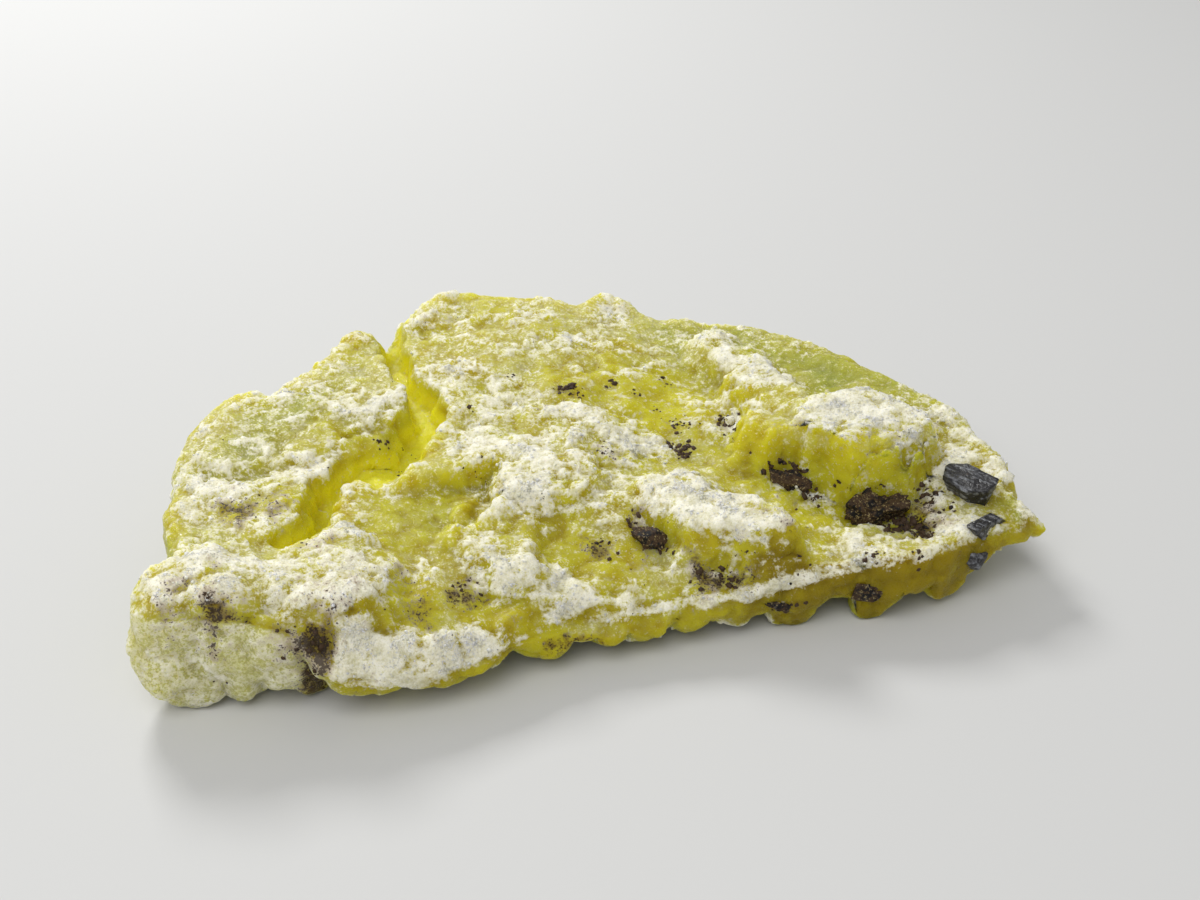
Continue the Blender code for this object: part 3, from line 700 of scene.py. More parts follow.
# ---- Meshes --------------------------------------------------------------------------------------


def grid_normals(grid: Array) -> Array:
    """Unit normals of a grid that is closed across its columns: the cross product of its two differences.

    Args:
        grid: Positions, rows x columns x 3.

    Returns:
        The normals, in the same shape.
    """
    down = np.gradient(grid, axis=0)
    across = np.roll(grid, -1, 1) - np.roll(grid, 1, 1)
    normals = np.cross(down, across)
    normals[0], normals[-1] = normals[1].mean(0), normals[-2].mean(0)
    return normals / np.maximum(np.linalg.norm(normals, axis=2), 1e-12)[..., None]


def mesh_of(name: str, vertices: Array, faces: list[Array], attributes: dict[str, Array]) -> bpy.types.Mesh:
    """A smooth-shaded mesh from whole arrays.

    Args:
        name: Name of the mesh.
        vertices: Positions in mm.
        faces: Arrays of vertex numbers, one array for each number of corners.
        attributes: One value for each vertex, by attribute name.

    Returns:
        The mesh, in metres.
    """
    mesh = bpy.data.meshes.new(name)
    corners = np.concatenate([f.ravel() for f in faces]).astype(np.int32)
    sizes = np.concatenate([np.full(len(f), f.shape[1]) for f in faces])
    starts = np.r_[0, np.cumsum(sizes)[:-1]].astype(np.int32)
    mesh.vertices.add(len(vertices))
    mesh.vertices.foreach_set("co", (vertices * MM).astype(np.float32).ravel())
    mesh.loops.add(len(corners))
    mesh.loops.foreach_set("vertex_index", corners)
    mesh.polygons.add(len(starts))
    mesh.polygons.foreach_set("loop_start", starts)
    mesh.update(calc_edges=True)
    mesh.validate()
    mesh.polygons.foreach_set("use_smooth", np.ones(len(mesh.polygons), bool))
    for key, values in attributes.items():
        layer = mesh.attributes.new(key, "FLOAT", "POINT")
        layer.data.foreach_set("value", values.astype(np.float32).ravel())
    return mesh


def closed_faces(rows: int, columns: int) -> list[Array]:
    """Faces of a grid whose columns close on themselves and whose first and last rows are one point each.

    The vertices are those of the inner rows, and then the two end points.

    Args:
        rows, columns: Size of the grid.

    Returns:
        The squares, and the triangles at the two end points.
    """
    index = np.arange((rows - 2) * columns).reshape(rows - 2, columns)
    a, d = index[:-1], index[1:]
    quads = np.stack((a, d, np.roll(d, -1, 1), np.roll(a, -1, 1)), -1).reshape(-1, 4)
    first, last = (rows - 2) * columns, (rows - 2) * columns + 1
    top = np.stack((np.full(columns, first), index[0], np.roll(index[0], -1)), -1)
    bottom = np.stack((np.full(columns, last), np.roll(index[-1], -1), index[-1]), -1)
    return [quads, np.concatenate((top, bottom))]


def closed_values(grid: Array) -> Array:
    """The values of a closed grid in the order of closed_faces: inner rows, first point, last point."""
    inner = grid[1:-1].reshape(-1, *grid.shape[2:])
    return np.concatenate((inner, grid[:1, 0], grid[-1:, 0]))


def within_box(points: Array) -> Array:
    """The points, in mm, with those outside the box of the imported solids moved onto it."""
    low, high = (np.array(corner) / MM for corner in CAD_BOX)
    return np.clip(points, low, high)


def directions(theta: Array, phi: Array) -> Array:
    """Unit vectors at the angle theta from +Z and the angle phi round it."""
    return np.stack((np.sin(theta) * np.cos(phi), np.sin(theta) * np.sin(phi), np.cos(theta) + 0 * phi), -1)


def linked(name: str, data: Any) -> bpy.types.Object:
    """A new object in the scene, made of a mesh, a light or a camera.

    Args:
        name: Name of the object.
        data: What it is made of.

    Returns:
        The object.
    """
    made = bpy.data.objects.new(name, data)
    bpy.context.scene.collection.objects.link(made)
    return made


def place_piece(name: str, mesh: bpy.types.Mesh, material: bpy.types.Material) -> bpy.types.Object:
    """Links a mesh as a piece of the specimen that rides on its one body.

    Args:
        name: Name of the piece.
        mesh: Its mesh.
        material: Its material.

    Returns:
        The piece.
    """
    mesh.materials.append(material)
    piece = linked(name, mesh)
    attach(piece, BODY)
    LOG.info("%s: %d faces", name, len(mesh.polygons))
    return piece


def thinned(name: str, mesh: bpy.types.Mesh, ratio: float) -> bpy.types.Mesh:
    """A copy of a mesh with its flattest triangles merged, down to a share of their number.

    Args:
        name: Name of the copy.
        mesh: The mesh, which is removed.
        ratio: The share that is kept.

    Returns:
        The copy.
    """
    holder = linked(name, mesh)
    thin = holder.modifiers.new("thin", "DECIMATE")
    thin.ratio = ratio
    thin.use_collapse_triangulate = True
    graph = bpy.context.evaluated_depsgraph_get()
    made = bpy.data.meshes.new_from_object(holder.evaluated_get(graph))
    bpy.data.objects.remove(holder)
    bpy.data.meshes.remove(mesh)
    made.name = name
    return made


# ---- Shader maths --------------------------------------------------------------------------------


class Value:
    """A number that a shader socket carries. Arithmetic on it adds Math nodes."""

    def __init__(self, shader: "Shader", socket: bpy.types.NodeSocket) -> None:
        """Keeps the socket and the shader that it belongs to."""
        self.shader = shader
        self.socket = socket

    def __add__(self, other: "Value | float") -> "Value":
        """self + other."""
        return self.shader.maths("ADD", self, other)

    __radd__ = __add__

    def __mul__(self, other: "Value | float") -> "Value":
        """self * other."""
        return self.shader.maths("MULTIPLY", self, other)

    __rmul__ = __mul__

    def __sub__(self, other: "Value | float") -> "Value":
        """self - other."""
        return self.shader.maths("SUBTRACT", self, other)

    def __rsub__(self, other: "Value | float") -> "Value":
        """other - self."""
        return self.shader.maths("SUBTRACT", other, self)

    def step(self, low: float, high: float) -> "Value":
        """0 below low, 1 above high, straight between them."""
        return self.shader.maths("MULTIPLY", self - low, 1.0 / (high - low), clamp=True)


class Shader:
    """A material's node tree, with one method that makes any node."""

    def __init__(self, name: str) -> None:
        """Starts an empty material of that name.

        Args:
            name: Name of the material.
        """
        self.material = bpy.data.materials.new(name)
        self.material.use_nodes = True
        self.tree = self.material.node_tree
        self.tree.nodes.clear()
        position = self.node("ShaderNodeTexCoord").outputs["Object"]
        scale = self.node("ShaderNodeVectorMath", {"operation": "SCALE"}, {0: position, "Scale": 1.0 / MM})
        self.position = scale.outputs[0]

    def node(self, kind: str, settings: dict | None = None, inputs: dict | None = None) -> bpy.types.Node:
        """Adds a node.

        Args:
            kind: The node's type.
            settings: Its properties, and "stops" for a ramp's positions and colours.
            inputs: Values, sockets or Value objects, by socket name or number.

        Returns:
            The node.
        """
        made = self.tree.nodes.new(kind)
        for key, value in (settings or {}).items():
            if key == "stops":
                self._set_stops(made.color_ramp, value)
            else:
                setattr(made, key, value)
        for key, value in (inputs or {}).items():
            value = value.socket if isinstance(value, Value) else value
            if isinstance(value, bpy.types.NodeSocket):
                self.tree.links.new(value, made.inputs[key])
            else:
                made.inputs[key].default_value = value
        return made

    @staticmethod
    def _set_stops(ramp: bpy.types.ColorRamp, stops: list[tuple[float, tuple]]) -> None:
        """Gives a ramp its stops, each a position and a colour.

        Args:
            ramp: The ramp.
            stops: The positions and colours.
        """
        while len(ramp.elements) < len(stops):
            ramp.elements.new(1.0)
        for element, (position, colour) in zip(ramp.elements, stops):
            element.position = position
            element.color = (*colour, 1.0)

    def maths(self, operation: str, a: Value | float, b: Value | float, clamp: bool = False) -> Value:
        """One Math node on two values."""
        made = self.node("ShaderNodeMath", {"operation": operation, "use_clamp": clamp}, {0: a, 1: b})
        return Value(self, made.outputs[0])

    def attribute(self, name: str) -> Value:
        """The piece's own value of that name at each point."""
        made = self.node("ShaderNodeAttribute", {"attribute_name": name})
        return Value(self, made.outputs["Fac"])

    def noise(self, size: float, detail: float = 2.0, roughness: float = 0.55, along: Any = None) -> Value:
        """Noise from 0 to 1 with lumps of a size in mm, at the object's own position or at another one.

        Args:
            size: Size of the lumps in mm.
            detail: How many finer sizes are added.
            roughness: How strong the finer sizes are.
            along: Another position to use.

        Returns:
            The noise.
        """
        inputs = {"Scale": 1.0 / size, "Detail": detail, "Roughness": roughness}
        made = self.node("ShaderNodeTexNoise", {}, {"Vector": along or self.position, **inputs})
        return Value(self, made.outputs[0])

    def cells(self, size: float) -> Value:
        """Distance from the nearest of many scattered points, in cells of a size in mm."""
        made = self.node("ShaderNodeTexVoronoi", {}, {"Vector": self.position, "Scale": 1.0 / size})
        return Value(self, made.outputs["Distance"])

    def mixed(self, factor: Value | float, a: Any, b: Any) -> bpy.types.NodeSocket:
        """Colour a where the factor is 0, and b where it is 1.

        Args:
            factor: From 0 to 1.
            a, b: Colours or sockets.

        Returns:
            The mixed colour.
        """
        a, b = ((*c, 1.0) if isinstance(c, tuple) else c for c in (a, b))
        made = self.node("ShaderNodeMix", {"data_type": "RGBA"}, {0: factor, 6: a, 7: b})
        return made.outputs[2]

    def varied(self, base: Value, *parts: tuple[Value, float]) -> Value:
        """A base value plus each part's swing about 0.5 times its weight.

        Args:
            base: The value to start from.
            parts: Values of 0 to 1, each with its weight.

        Returns:
            The sum.
        """
        for part, weight in parts:
            base = base + (part - 0.5) * weight
        return base

    def bump(self, height: Value, depth: float) -> bpy.types.NodeSocket:
        """A normal that rises and falls with a height of 0 to 1, over a depth in mm."""
        inputs = {"Strength": 1.0, "Distance": depth * MM, "Height": height}
        return self.node("ShaderNodeBump", {}, inputs).outputs[0]

    def principled(self, inputs: dict) -> bpy.types.NodeSocket:
        """A Principled surface with the given sockets."""
        return self.node("ShaderNodeBsdfPrincipled", {}, inputs).outputs[0]

    def finish(self, surface: bpy.types.NodeSocket) -> bpy.types.Material:
        """Sends a surface to the output and returns the material."""
        self.node("ShaderNodeOutputMaterial", {}, {"Surface": surface})
        return self.material


# ---- Finishes ------------------------------------------------------------------------------------

Colour = tuple[float, float, float]


class Mask(Enum):
    """What the brucite's surface carries at each point, from 0 to 1, or to 1.5 for stain and painted shade.
    Three masks carry painted light: the mask for hollows and walls lightens them to a painted glow, the outer
    one darkens front walls and some hollows as painted shade, and the stain mask paints shade into the notch
    at the front.
    """

    SKIN = "skin"
    HAZE = "haze"
    GREEN = "green"
    STAIN_AND_SHADE = "stain_and_shade"
    CLEAR_AND_PAINTED_GLOW = "clear_and_painted_glow"
    OUTER = "outer"
    CREST = "crest"


@dataclass(frozen=True)
class BruciteFinish:
    """Waxy translucent yellow brucite under a frost of white grains, stained brown and lilac in places."""

    lemon: Colour = (0.47, 0.43, 0.022)
    amber: Colour = (0.40, 0.32, 0.010)
    olive: Colour = (0.27, 0.30, 0.06)
    # Painted shade: dark amber laid on front walls and in some hollows, where shadow falls.
    painted_shade_amber: Colour = (0.25, 0.18, 0.003)
    # Painted glow: bright yellow laid in hollows and on walls, as if light shining through the brucite lit
    # them.
    painted_glow: Colour = (0.80, 0.745, 0.03)
    haze: Colour = (0.50, 0.475, 0.19)
    fleck: Colour = (0.72, 0.70, 0.40)
    white: Colour = (0.90, 0.868, 0.725)
    cream: Colour = (0.55, 0.52, 0.27)
    lilac: Colour = (0.42, 0.32, 0.26)
    # Rust and umber colour real stains, and also the painted shade in the notch at the front.
    rust_and_shade: Colour = (0.15, 0.09, 0.024)
    umber: Colour = (0.040, 0.023, 0.011)
    glow_radius: Colour = (1.0, 0.90, 0.12)
    glow_reach: float = 3.0
    frost_radius: Colour = (1.0, 0.96, 0.80)
    frost_reach: float = 0.7

    def material(self) -> bpy.types.Material:
        """Two Principled surfaces, clear brucite and white frost, mixed by the skin mask and fine noise.

        Returns:
            The material.
        """
        s = Shader("yellow_brucite_and_skin")
        skin, haze, green, stain_and_shade, clear_and_painted_glow, outer, crest = (s.attribute(mask.value) for mask in Mask)
        coarse, medium = s.noise(2.4, 3.0), s.noise(0.62, 3.0, 0.6)
        fine, finest = s.noise(0.22, 2.0, 0.6), s.noise(0.09, 1.0)
        pebble, grain = s.cells(0.42), s.cells(0.17)

        # Amber where the crest is low: painted shade between the knobs, over random tone from coarse noise.
        yellow = s.mixed((coarse - (crest - 0.5) * 0.5).step(0.32, 0.68), self.lemon, self.amber)
        yellow = s.mixed(green * 0.85, yellow, self.olive)
        # Painted glow: sunk places and walls turn bright yellow, as if lit through the brucite.
        yellow = s.mixed(clear_and_painted_glow * 0.8, yellow, self.painted_glow)
        cloud = s.varied(haze, (medium, 1.6), (fine, 1.2)) + crest * 0.35 - clear_and_painted_glow * 0.8
        yellow = s.mixed(cloud.step(0.15, 1.15), yellow, self.haze)
        flecks = s.varied(haze * 0.5, (finest, 2.4), (fine, 1.4)) - outer * 0.3 - clear_and_painted_glow * 0.35
        yellow = s.mixed(flecks.step(0.24, 0.62) * 0.6, yellow, self.fleck)
        # Painted shade: front walls and the shade patches turn dark amber, patchy by noise.
        wall = (outer * 1.2 + (coarse - 0.5) * 2.2 * outer + (medium - 0.5) * 0.8 * outer).step(0.15, 1.0)
        yellow = s.mixed(wall * 0.92, yellow, self.painted_shade_amber)
        # Film and dots follow the stain mask: real rust-brown and umber stains, and painted shade in the
        # notch at the front.
        film = s.varied(stain_and_shade, (medium, 1.6), (fine, 1.5), (finest, 0.8)).step(0.42, 0.95)
        dots = s.varied(stain_and_shade, (fine, 2.6), (finest, 2.0)).step(0.92, 1.22)
        yellow = s.mixed(film * 0.75, yellow, self.rust_and_shade)
        yellow = s.mixed(dots * 0.9, yellow, self.umber)
        # Cream where the crest is low: painted shade between the knobs, with noise for real tone.
        cream_tone_and_shade = s.varied(0.54 - crest * 0.45, (medium, 1.4), (finest, 0.9))
        chalk = s.mixed(cream_tone_and_shade.step(0.1, 0.9), self.white, self.cream)
        chalk = s.mixed(film * 0.6, chalk, self.lilac)
        chalk = s.mixed(dots * 0.85, chalk, self.umber)

        waxy = s.bump(medium * 0.4 + fine * 0.4 + finest * 0.2, 0.14)
        granular = s.bump(medium * 0.35 + fine * 0.45 + finest * 0.15 - pebble * 0.25 - grain * 0.15, 0.18)
        clear = s.principled(
            {
                "Base Color": yellow,
                "Roughness": 0.12 + 0.50 * finest.step(0.64, 0.44),
                "Specular IOR Level": 0.18,
                "Subsurface Weight": 1.0,
                "Subsurface Radius": self.glow_radius,
                "Subsurface Scale": self.glow_reach * MM,
                "Normal": waxy,
            }
        )
        frost = s.principled(
            {
                "Base Color": chalk,
                "Roughness": 0.42 + 0.45 * fine,
                "Specular IOR Level": 0.28,
                "Subsurface Weight": 0.7,
                "Subsurface Radius": self.frost_radius,
                "Subsurface Scale": self.frost_reach * MM,
                "Normal": granular,
            }
        )
        share = s.varied(skin, (medium, 1.0), (fine, 1.4), (finest, 0.8), (crest, 0.35)) - outer * 0.15
        share = share.step(0.26, 0.76)
        surface = s.node("ShaderNodeMixShader", {}, {0: share, 1: clear, 2: frost}).outputs[0]
        return s.finish(surface)


@dataclass(frozen=True)
class FrostFinish:
    """White to cream crystal grains with a slight sparkle."""

    white: Colour = (0.86, 0.85, 0.76)
    cream: Colour = (0.74, 0.71, 0.46)

    def material(self) -> bpy.types.Material:
        """One Principled surface, mottled between white and cream.

        Returns:
            The material.
        """
        s = Shader("frost")
        mottle = s.noise(0.35, 2.0)
        surface = s.principled(
            {
                "Base Color": s.mixed(mottle.step(0.42, 0.62), self.white, self.cream),
                "Roughness": 0.25 + 0.4 * s.noise(0.2, 1.0),
                "Subsurface Weight": 0.6,
                "Subsurface Radius": (1.0, 0.95, 0.6),
                "Subsurface Scale": 0.35 * MM,
            }
        )
        return s.finish(surface)


@dataclass(frozen=True)
class DarkMineralFinish:
    """Black to umber mineral: grey streaks along the grain, partly striation and partly painted sheen,
    crumbly and brown elsewhere.
    """

    name: str = "dark_mineral"
    black: Colour = (0.008, 0.007, 0.008)
    gleam: Colour = (0.22, 0.23, 0.25)
    umber: Colour = (0.060, 0.034, 0.017)
    crumbs: Colour = (0.30, 0.24, 0.11)
    gleam_share: float = 0.3
    brown_share: float = 0.1
    crumb_share: float = 0.0
    smoothest: float = 0.10
    shine: float = 0.6
    streak_turn: float = -62.0
    streak_length: float = 5.0

    def material(self) -> bpy.types.Material:
        """One Principled surface: black with grey streaks along the grain, umber patches and pale crumbs.

        Returns:
            The material.
        """
        s = Shader(self.name)
        turn, stretch = (0.0, 0.0, math.radians(self.streak_turn)), (self.streak_length, 1.0, 1.0)
        inputs = {"Vector": s.position, "Rotation": turn, "Scale": stretch}
        turned = s.node("ShaderNodeMapping", {"vector_type": "TEXTURE"}, inputs)
        streaks = s.noise(0.22, 3.0, 0.6, along=turned.outputs[0])
        medium, fine, finest = s.noise(0.5, 3.0), s.noise(0.16, 2.0), s.noise(0.07, 1.0)
        # Grey streaks along the grain: partly striation, partly a painted sheen of its gleaming facets.
        grey = (streaks - (1 - self.gleam_share) * 0.5 + (fine - 0.5) * 0.4).step(0.15, 0.35)
        colour = s.mixed(grey, self.black, self.gleam)
        brown = (medium + (fine - 0.5) * 0.7 - 0.75 + 0.5 * self.brown_share).step(0.0, 0.14)
        colour = s.mixed(brown, colour, self.umber)
        pale = (finest * 0.5 + fine * 0.5 - 0.72 + 0.4 * self.crumb_share).step(0.0, 0.08)
        colour = s.mixed(pale, colour, self.crumbs)
        surface = s.principled(
            {
                "Base Color": colour,
                "Roughness": self.smoothest + 0.5 * fine,
                "Specular IOR Level": self.shine,
                "Normal": s.bump(streaks * 0.4 + fine * 0.4 + finest * 0.2, 0.14),
            }
        )
        return s.finish(surface)


@dataclass(frozen=True)
class FloorFinish:
    """A plain pale matt floor."""

    colour: Colour = (0.62, 0.62, 0.61)
    roughness: float = 0.9

    def material(self) -> bpy.types.Material:
        """One plain Principled surface."""
        s = Shader("pale_floor")
        return s.finish(s.principled({"Base Color": (*self.colour, 1.0), "Roughness": self.roughness}))


# ---- The brucite ---------------------------------------------------------------------------------

# The patches of each mask on the upper side: x, y, radius and strength.
SKIN_PATCHES = each(
    Patch,
    (-9.0, 6.0, 2.0, 0.06), (-7.9, 2.6, 1.0, 0.35), (-8.4, 1.9, 0.9, 0.40), (-10.6, 3.2, 1.6, 0.12),
    (-11.0, -1.0, 1.2, 0.30), (-13.3, 1.1, 0.6, 0.30), (-17.2, -3.0, 0.8, 0.25), (-10.2, -6.2, 1.0, 0.35),
    (-12.8, -9.0, 2.2, 0.26), (-16.4, -8.6, 2.0, 0.28), (-11.2, -11.5, 1.1, 0.50),
    (-8.5, -12.1, 1.2, 0.60), (-5.8, -12.0, 1.0, 0.55), (-16.6, -7.5, 1.5, 0.25),
    (-10.4, -9.2, 1.3, 0.30), (-14.9, -2.6, 0.6, 0.45), (-16.5, -1.9, 0.6, 0.45), (-5.0, -7.4, 1.3, 0.40),
    (-4.2, -9.4, 0.8, 0.30), (-2.2, -10.2, 1.1, 0.50), (0.2, -10.4, 1.2, 0.50), (3.0, -10.5, 0.9, 0.30),
    (-2.0, -4.0, 1.6, 0.50), (-2.4, -1.2, 1.2, 0.30), (0.0, 0.6, 1.0, 0.45), (-4.6, -0.5, 1.4, 0.35),
    (-5.6, 4.6, 1.4, 0.22), (-3.6, 11.0, 2.2, 0.25), (4.1, 10.0, 1.1, 0.40), (3.0, -0.8, 1.0, 0.50),
    (1.4, -1.5, 1.0, 0.30), (3.5, -1.8, 0.9, 0.25), (8.2, 4.3, 0.9, 0.50), (9.1, 2.2, 0.9, 0.55),
    (10.1, 0.7, 1.0, 0.55), (7.9, -0.7, 0.6, 0.40), (9.6, -2.6, 1.0, 0.30), (11.3, -3.4, 1.0, 0.45),
    (13.2, -4.2, 1.8, 0.65), (16.6, -5.6, 0.9, 0.45), (18.0, -5.2, 1.1, 0.40), (17.4, -3.4, 1.2, 0.40),
    (3.5, -5.9, 1.1, 0.60), (4.6, -7.4, 1.1, 0.60), (5.9, -8.6, 1.1, 0.60), (6.4, -9.8, 1.0, 0.50),
    (10.9, -9.2, 1.1, 0.45), (14.4, -9.9, 1.2, 0.40), (3.4, -1.7, 1.1, 0.22), (9.4, 3.1, 0.7, 0.25),
    (14.7, -6.2, 0.8, 0.60), (9.6, -5.1, 0.35, 0.50), (17.4, -7.0, 0.9, 0.30), (18.3, -7.4, 0.8, 0.50),
)
# Painted shade: patches that darken hollows and low walls to amber.
PAINTED_SHADE_PATCHES = each(
    Patch,
    (-5.7, -3.9, 0.9, 0.45), (-12.3, -4.9, 0.6, 0.30), (-4.4, -12.0, 1.1, 0.30), (18.5, -9.6, 0.7, 0.55),
    (9.0, -6.6, 0.9, 0.25),
)
# Painted glow: these patches lighten walls and hollows to bright yellow, as if lit through the brucite.
PAINTED_GLOW_PATCHES = each(
    Patch,
    (5.0, 1.4, 2.4, 0.30), (3.5, -1.8, 1.5, 0.30), (8.0, -5.0, 1.2, 0.30), (12.0, -5.9, 1.5, 0.30),
    (-3.5, -11.4, 1.2, 0.40),
)
CLEAR_PATCHES = each(
    Patch,
    (-8.4, -4.8, 1.9, 1.0), (-6.2, -4.4, 1.3, 1.0), (-1.4, -7.0, 1.6, 1.0), (0.8, -8.4, 1.2, 0.7),
    (8.9, -7.4, 1.1, 0.6), (5.0, 1.4, 2.4, 0.45), (5.4, -2.6, 1.8, 0.45), (2.8, -3.4, 1.2, 0.3),
    (7.2, -3.4, 1.2, 0.7), (4.4, 5.4, 1.8, 0.35), (13.4, 1.4, 2.6, 0.8), (10.6, 5.4, 2.6, 0.6),
    (-8.6, 0.2, 1.3, 1.0), (-11.6, -3.6, 0.8, 1.0), (11.0, -6.2, 0.9, 0.8), (15.4, 2.4, 1.6, 0.5),
    (-8.4, -10.3, 1.1, 0.9), (-5.9, -10.6, 0.9, 0.9), (-3.8, -11.3, 0.9, 0.9), (-12.4, 2.4, 1.2, 0.3),
    (0.6, -2.6, 1.1, 0.4), (1.4, 3.2, 1.4, 0.3), (-7.1, -5.6, 1.3, 0.5), (-5.3, -4.2, 0.9, 0.5),
    (18.5, -9.2, 0.7, 0.9), (-8.5, -9.6, 1.1, 0.5), (-4.1, -10.4, 0.9, 0.6),
)
GREEN_PATCHES = each(
    Patch,
    (13.5, 1.2, 2.8, 0.9), (9.8, 6.0, 3.0, 0.8), (6.2, 7.8, 1.8, 0.7), (-11.9, 2.6, 1.8, 0.7),
    (-8.4, 1.8, 1.2, 0.5), (-16.2, 0.0, 2.4, 0.5), (-17.0, -5.4, 1.6, 0.4), (-7.1, 8.8, 1.6, 0.8),
    (17.8, -1.0, 2.6, 0.5), (18.6, -8.9, 1.0, 1.0), (-14.0, 1.0, 1.5, 0.6), (-7.2, -5.2, 1.6, 0.35),
    (-9.6, 4.8, 1.6, 0.35),
)
STAIN_PATCHES = each(
    Patch,
    (-14.3, -3.8, 1.1, 0.80), (-15.3, -2.6, 0.7, 0.55), (-14.1, -5.0, 0.6, 0.60),
    # The patch at (-12.8, -11.5) darkens the front wall under the overhang: painted shade there, partly a
    # brown stain.
    (-16.5, -9.7, 0.7, 0.85), (-17.8, -9.0, 0.4, 0.70), (-12.8, -11.5, 1.0, 0.95),
    (-17.5, -11.4, 0.6, 0.80), (-11.1, -10.0, 0.8, 0.55), (-8.8, -8.7, 0.8, 0.50),
    (-5.9, -9.3, 0.5, 0.75), (-4.4, -11.6, 0.9, 0.55), (-0.8, 1.3, 0.5, 0.50), (4.1, -6.4, 0.5, 0.40),
    (7.1, -9.1, 0.5, 0.50), (14.1, -4.7, 1.2, 0.30), (0.1, -7.5, 0.7, 0.70), (4.6, -10.3, 0.9, 0.80),
    (7.9, -9.0, 0.5, 0.60), (6.4, 7.8, 1.2, 0.20), (-4.5, 9.4, 0.9, 0.45), (-0.2, 7.2, 1.0, 0.30),
    (1.1, 3.6, 0.7, 0.40), (-10.6, 0.4, 0.9, 0.30), (17.2, -3.2, 0.8, 0.30), (13.9, -7.6, 1.0, 0.85),
    (14.4, -8.8, 0.6, 0.70), (9.0, -4.9, 0.8, 0.60), (2.0, -6.6, 0.8, 0.60), (-12.0, -9.2, 2.2, 0.26),
    (-16.0, -8.8, 1.4, 0.26), (-15.6, -2.9, 0.8, 0.35), (-17.2, -11.0, 1.2, 0.25),
    (-5.1, -10.0, 0.5, 0.50), (13.4, -9.2, 0.7, 0.55),
)


@dataclass(frozen=True)
class Cluster:
    """A cluster of small grains: its place in the plan, spread, how many, and their mean radius."""

    x: float
    y: float
    spread: float
    count: int
    radius: float


# Clusters of dark specks: x, y, spread, number and mean radius.
SPECKS = each(
    Cluster,
    (-1.9, 3.9, 0.12, 4, 0.11), (0.55, 2.3, 0.20, 16, 0.15), (1.0, 1.9, 0.20, 8, 0.10),
    (2.7, 2.6, 0.16, 8, 0.15), (3.7, 1.8, 0.12, 6, 0.11), (4.5, 0.9, 0.12, 4, 0.11),
    (5.5, 3.0, 0.30, 9, 0.10), (5.3, -0.3, 0.34, 20, 0.13), (5.0, -1.9, 0.26, 30, 0.17),
    (7.3, -0.6, 0.34, 22, 0.14), (7.6, -1.6, 0.24, 16, 0.15), (1.3, -2.3, 0.30, 8, 0.08),
    (-4.2, 1.7, 0.10, 4, 0.11), (-8.5, 0.2, 0.22, 10, 0.10), (-7.5, 0.9, 0.08, 2, 0.12),
    (-7.1, 0.6, 0.08, 2, 0.10), (-7.7, -0.5, 0.10, 3, 0.09), (-4.2, -2.7, 0.30, 8, 0.08),
    (-5.0, -3.0, 0.20, 4, 0.08), (-6.5, -9.3, 0.35, 10, 0.11), (-5.9, -9.3, 0.30, 6, 0.10),
    (-2.1, -5.3, 0.15, 3, 0.07), (1.2, -2.0, 0.45, 12, 0.06), (1.5, -6.4, 0.20, 8, 0.15),
    (2.3, -8.2, 0.28, 9, 0.14), (0.2, -7.6, 0.30, 8, 0.12), (1.3, -8.8, 0.40, 6, 0.07),
    (4.6, -10.0, 0.35, 20, 0.15), (3.7, -9.8, 0.25, 10, 0.14), (5.4, -9.8, 0.25, 6, 0.12),
    (9.2, -4.6, 0.45, 26, 0.17), (8.6, -3.7, 0.30, 16, 0.15), (9.4, -4.8, 0.25, 12, 0.16),
    (9.0, -3.5, 0.10, 3, 0.12), (10.0, -5.9, 0.40, 18, 0.15), (12.2, -7.0, 0.60, 30, 0.20),
    (13.3, -8.3, 0.42, 44, 0.20), (13.9, -9.1, 0.28, 20, 0.15), (14.7, -7.2, 0.35, 18, 0.15),
    (14.9, -8.3, 0.30, 10, 0.13), (11.3, -5.7, 0.12, 6, 0.11), (12.3, -5.8, 0.35, 6, 0.06),
    (13.5, -5.9, 0.40, 8, 0.07), (10.9, -10.7, 0.35, 14, 0.14), (12.9, -11.0, 0.20, 6, 0.13),
    (8.0, -10.9, 0.50, 12, 0.11), (-14.4, -3.8, 0.50, 16, 0.07), (-16.4, -10.4, 0.25, 8, 0.09),
    # The cluster at (-12.9, -11.6) sits in the notch at the front: dark grains that also serve as painted
    # shade there.
    (-12.9, -11.6, 0.45, 16, 0.12), (-11.8, -6.8, 0.50, 8, 0.06), (-8.2, -10.8, 0.80, 10, 0.06),
    (16.0, -3.4, 0.60, 7, 0.07), (17.3, -1.0, 0.30, 3, 0.08), (3.0, 3.0, 3.20, 40, 0.035),
    (-1.5, -6.5, 2.60, 30, 0.035), (-11.0, 0.5, 2.60, 26, 0.035),
)
HALO_STRENGTH = 0.4
SPECK_HALOS = tuple(
    Patch(c.x, c.y, 1.4 * c.spread + 0.2, HALO_STRENGTH) for c in SPECKS if c.count > 5 and c.spread < 1
)
# The notch under the front lip, low down: painted shade, partly a brown stain, through the stain mask and
# less skin.
FRONT_NOTCH = Patch(-12.6, -10.9, 0.75, 1.0)


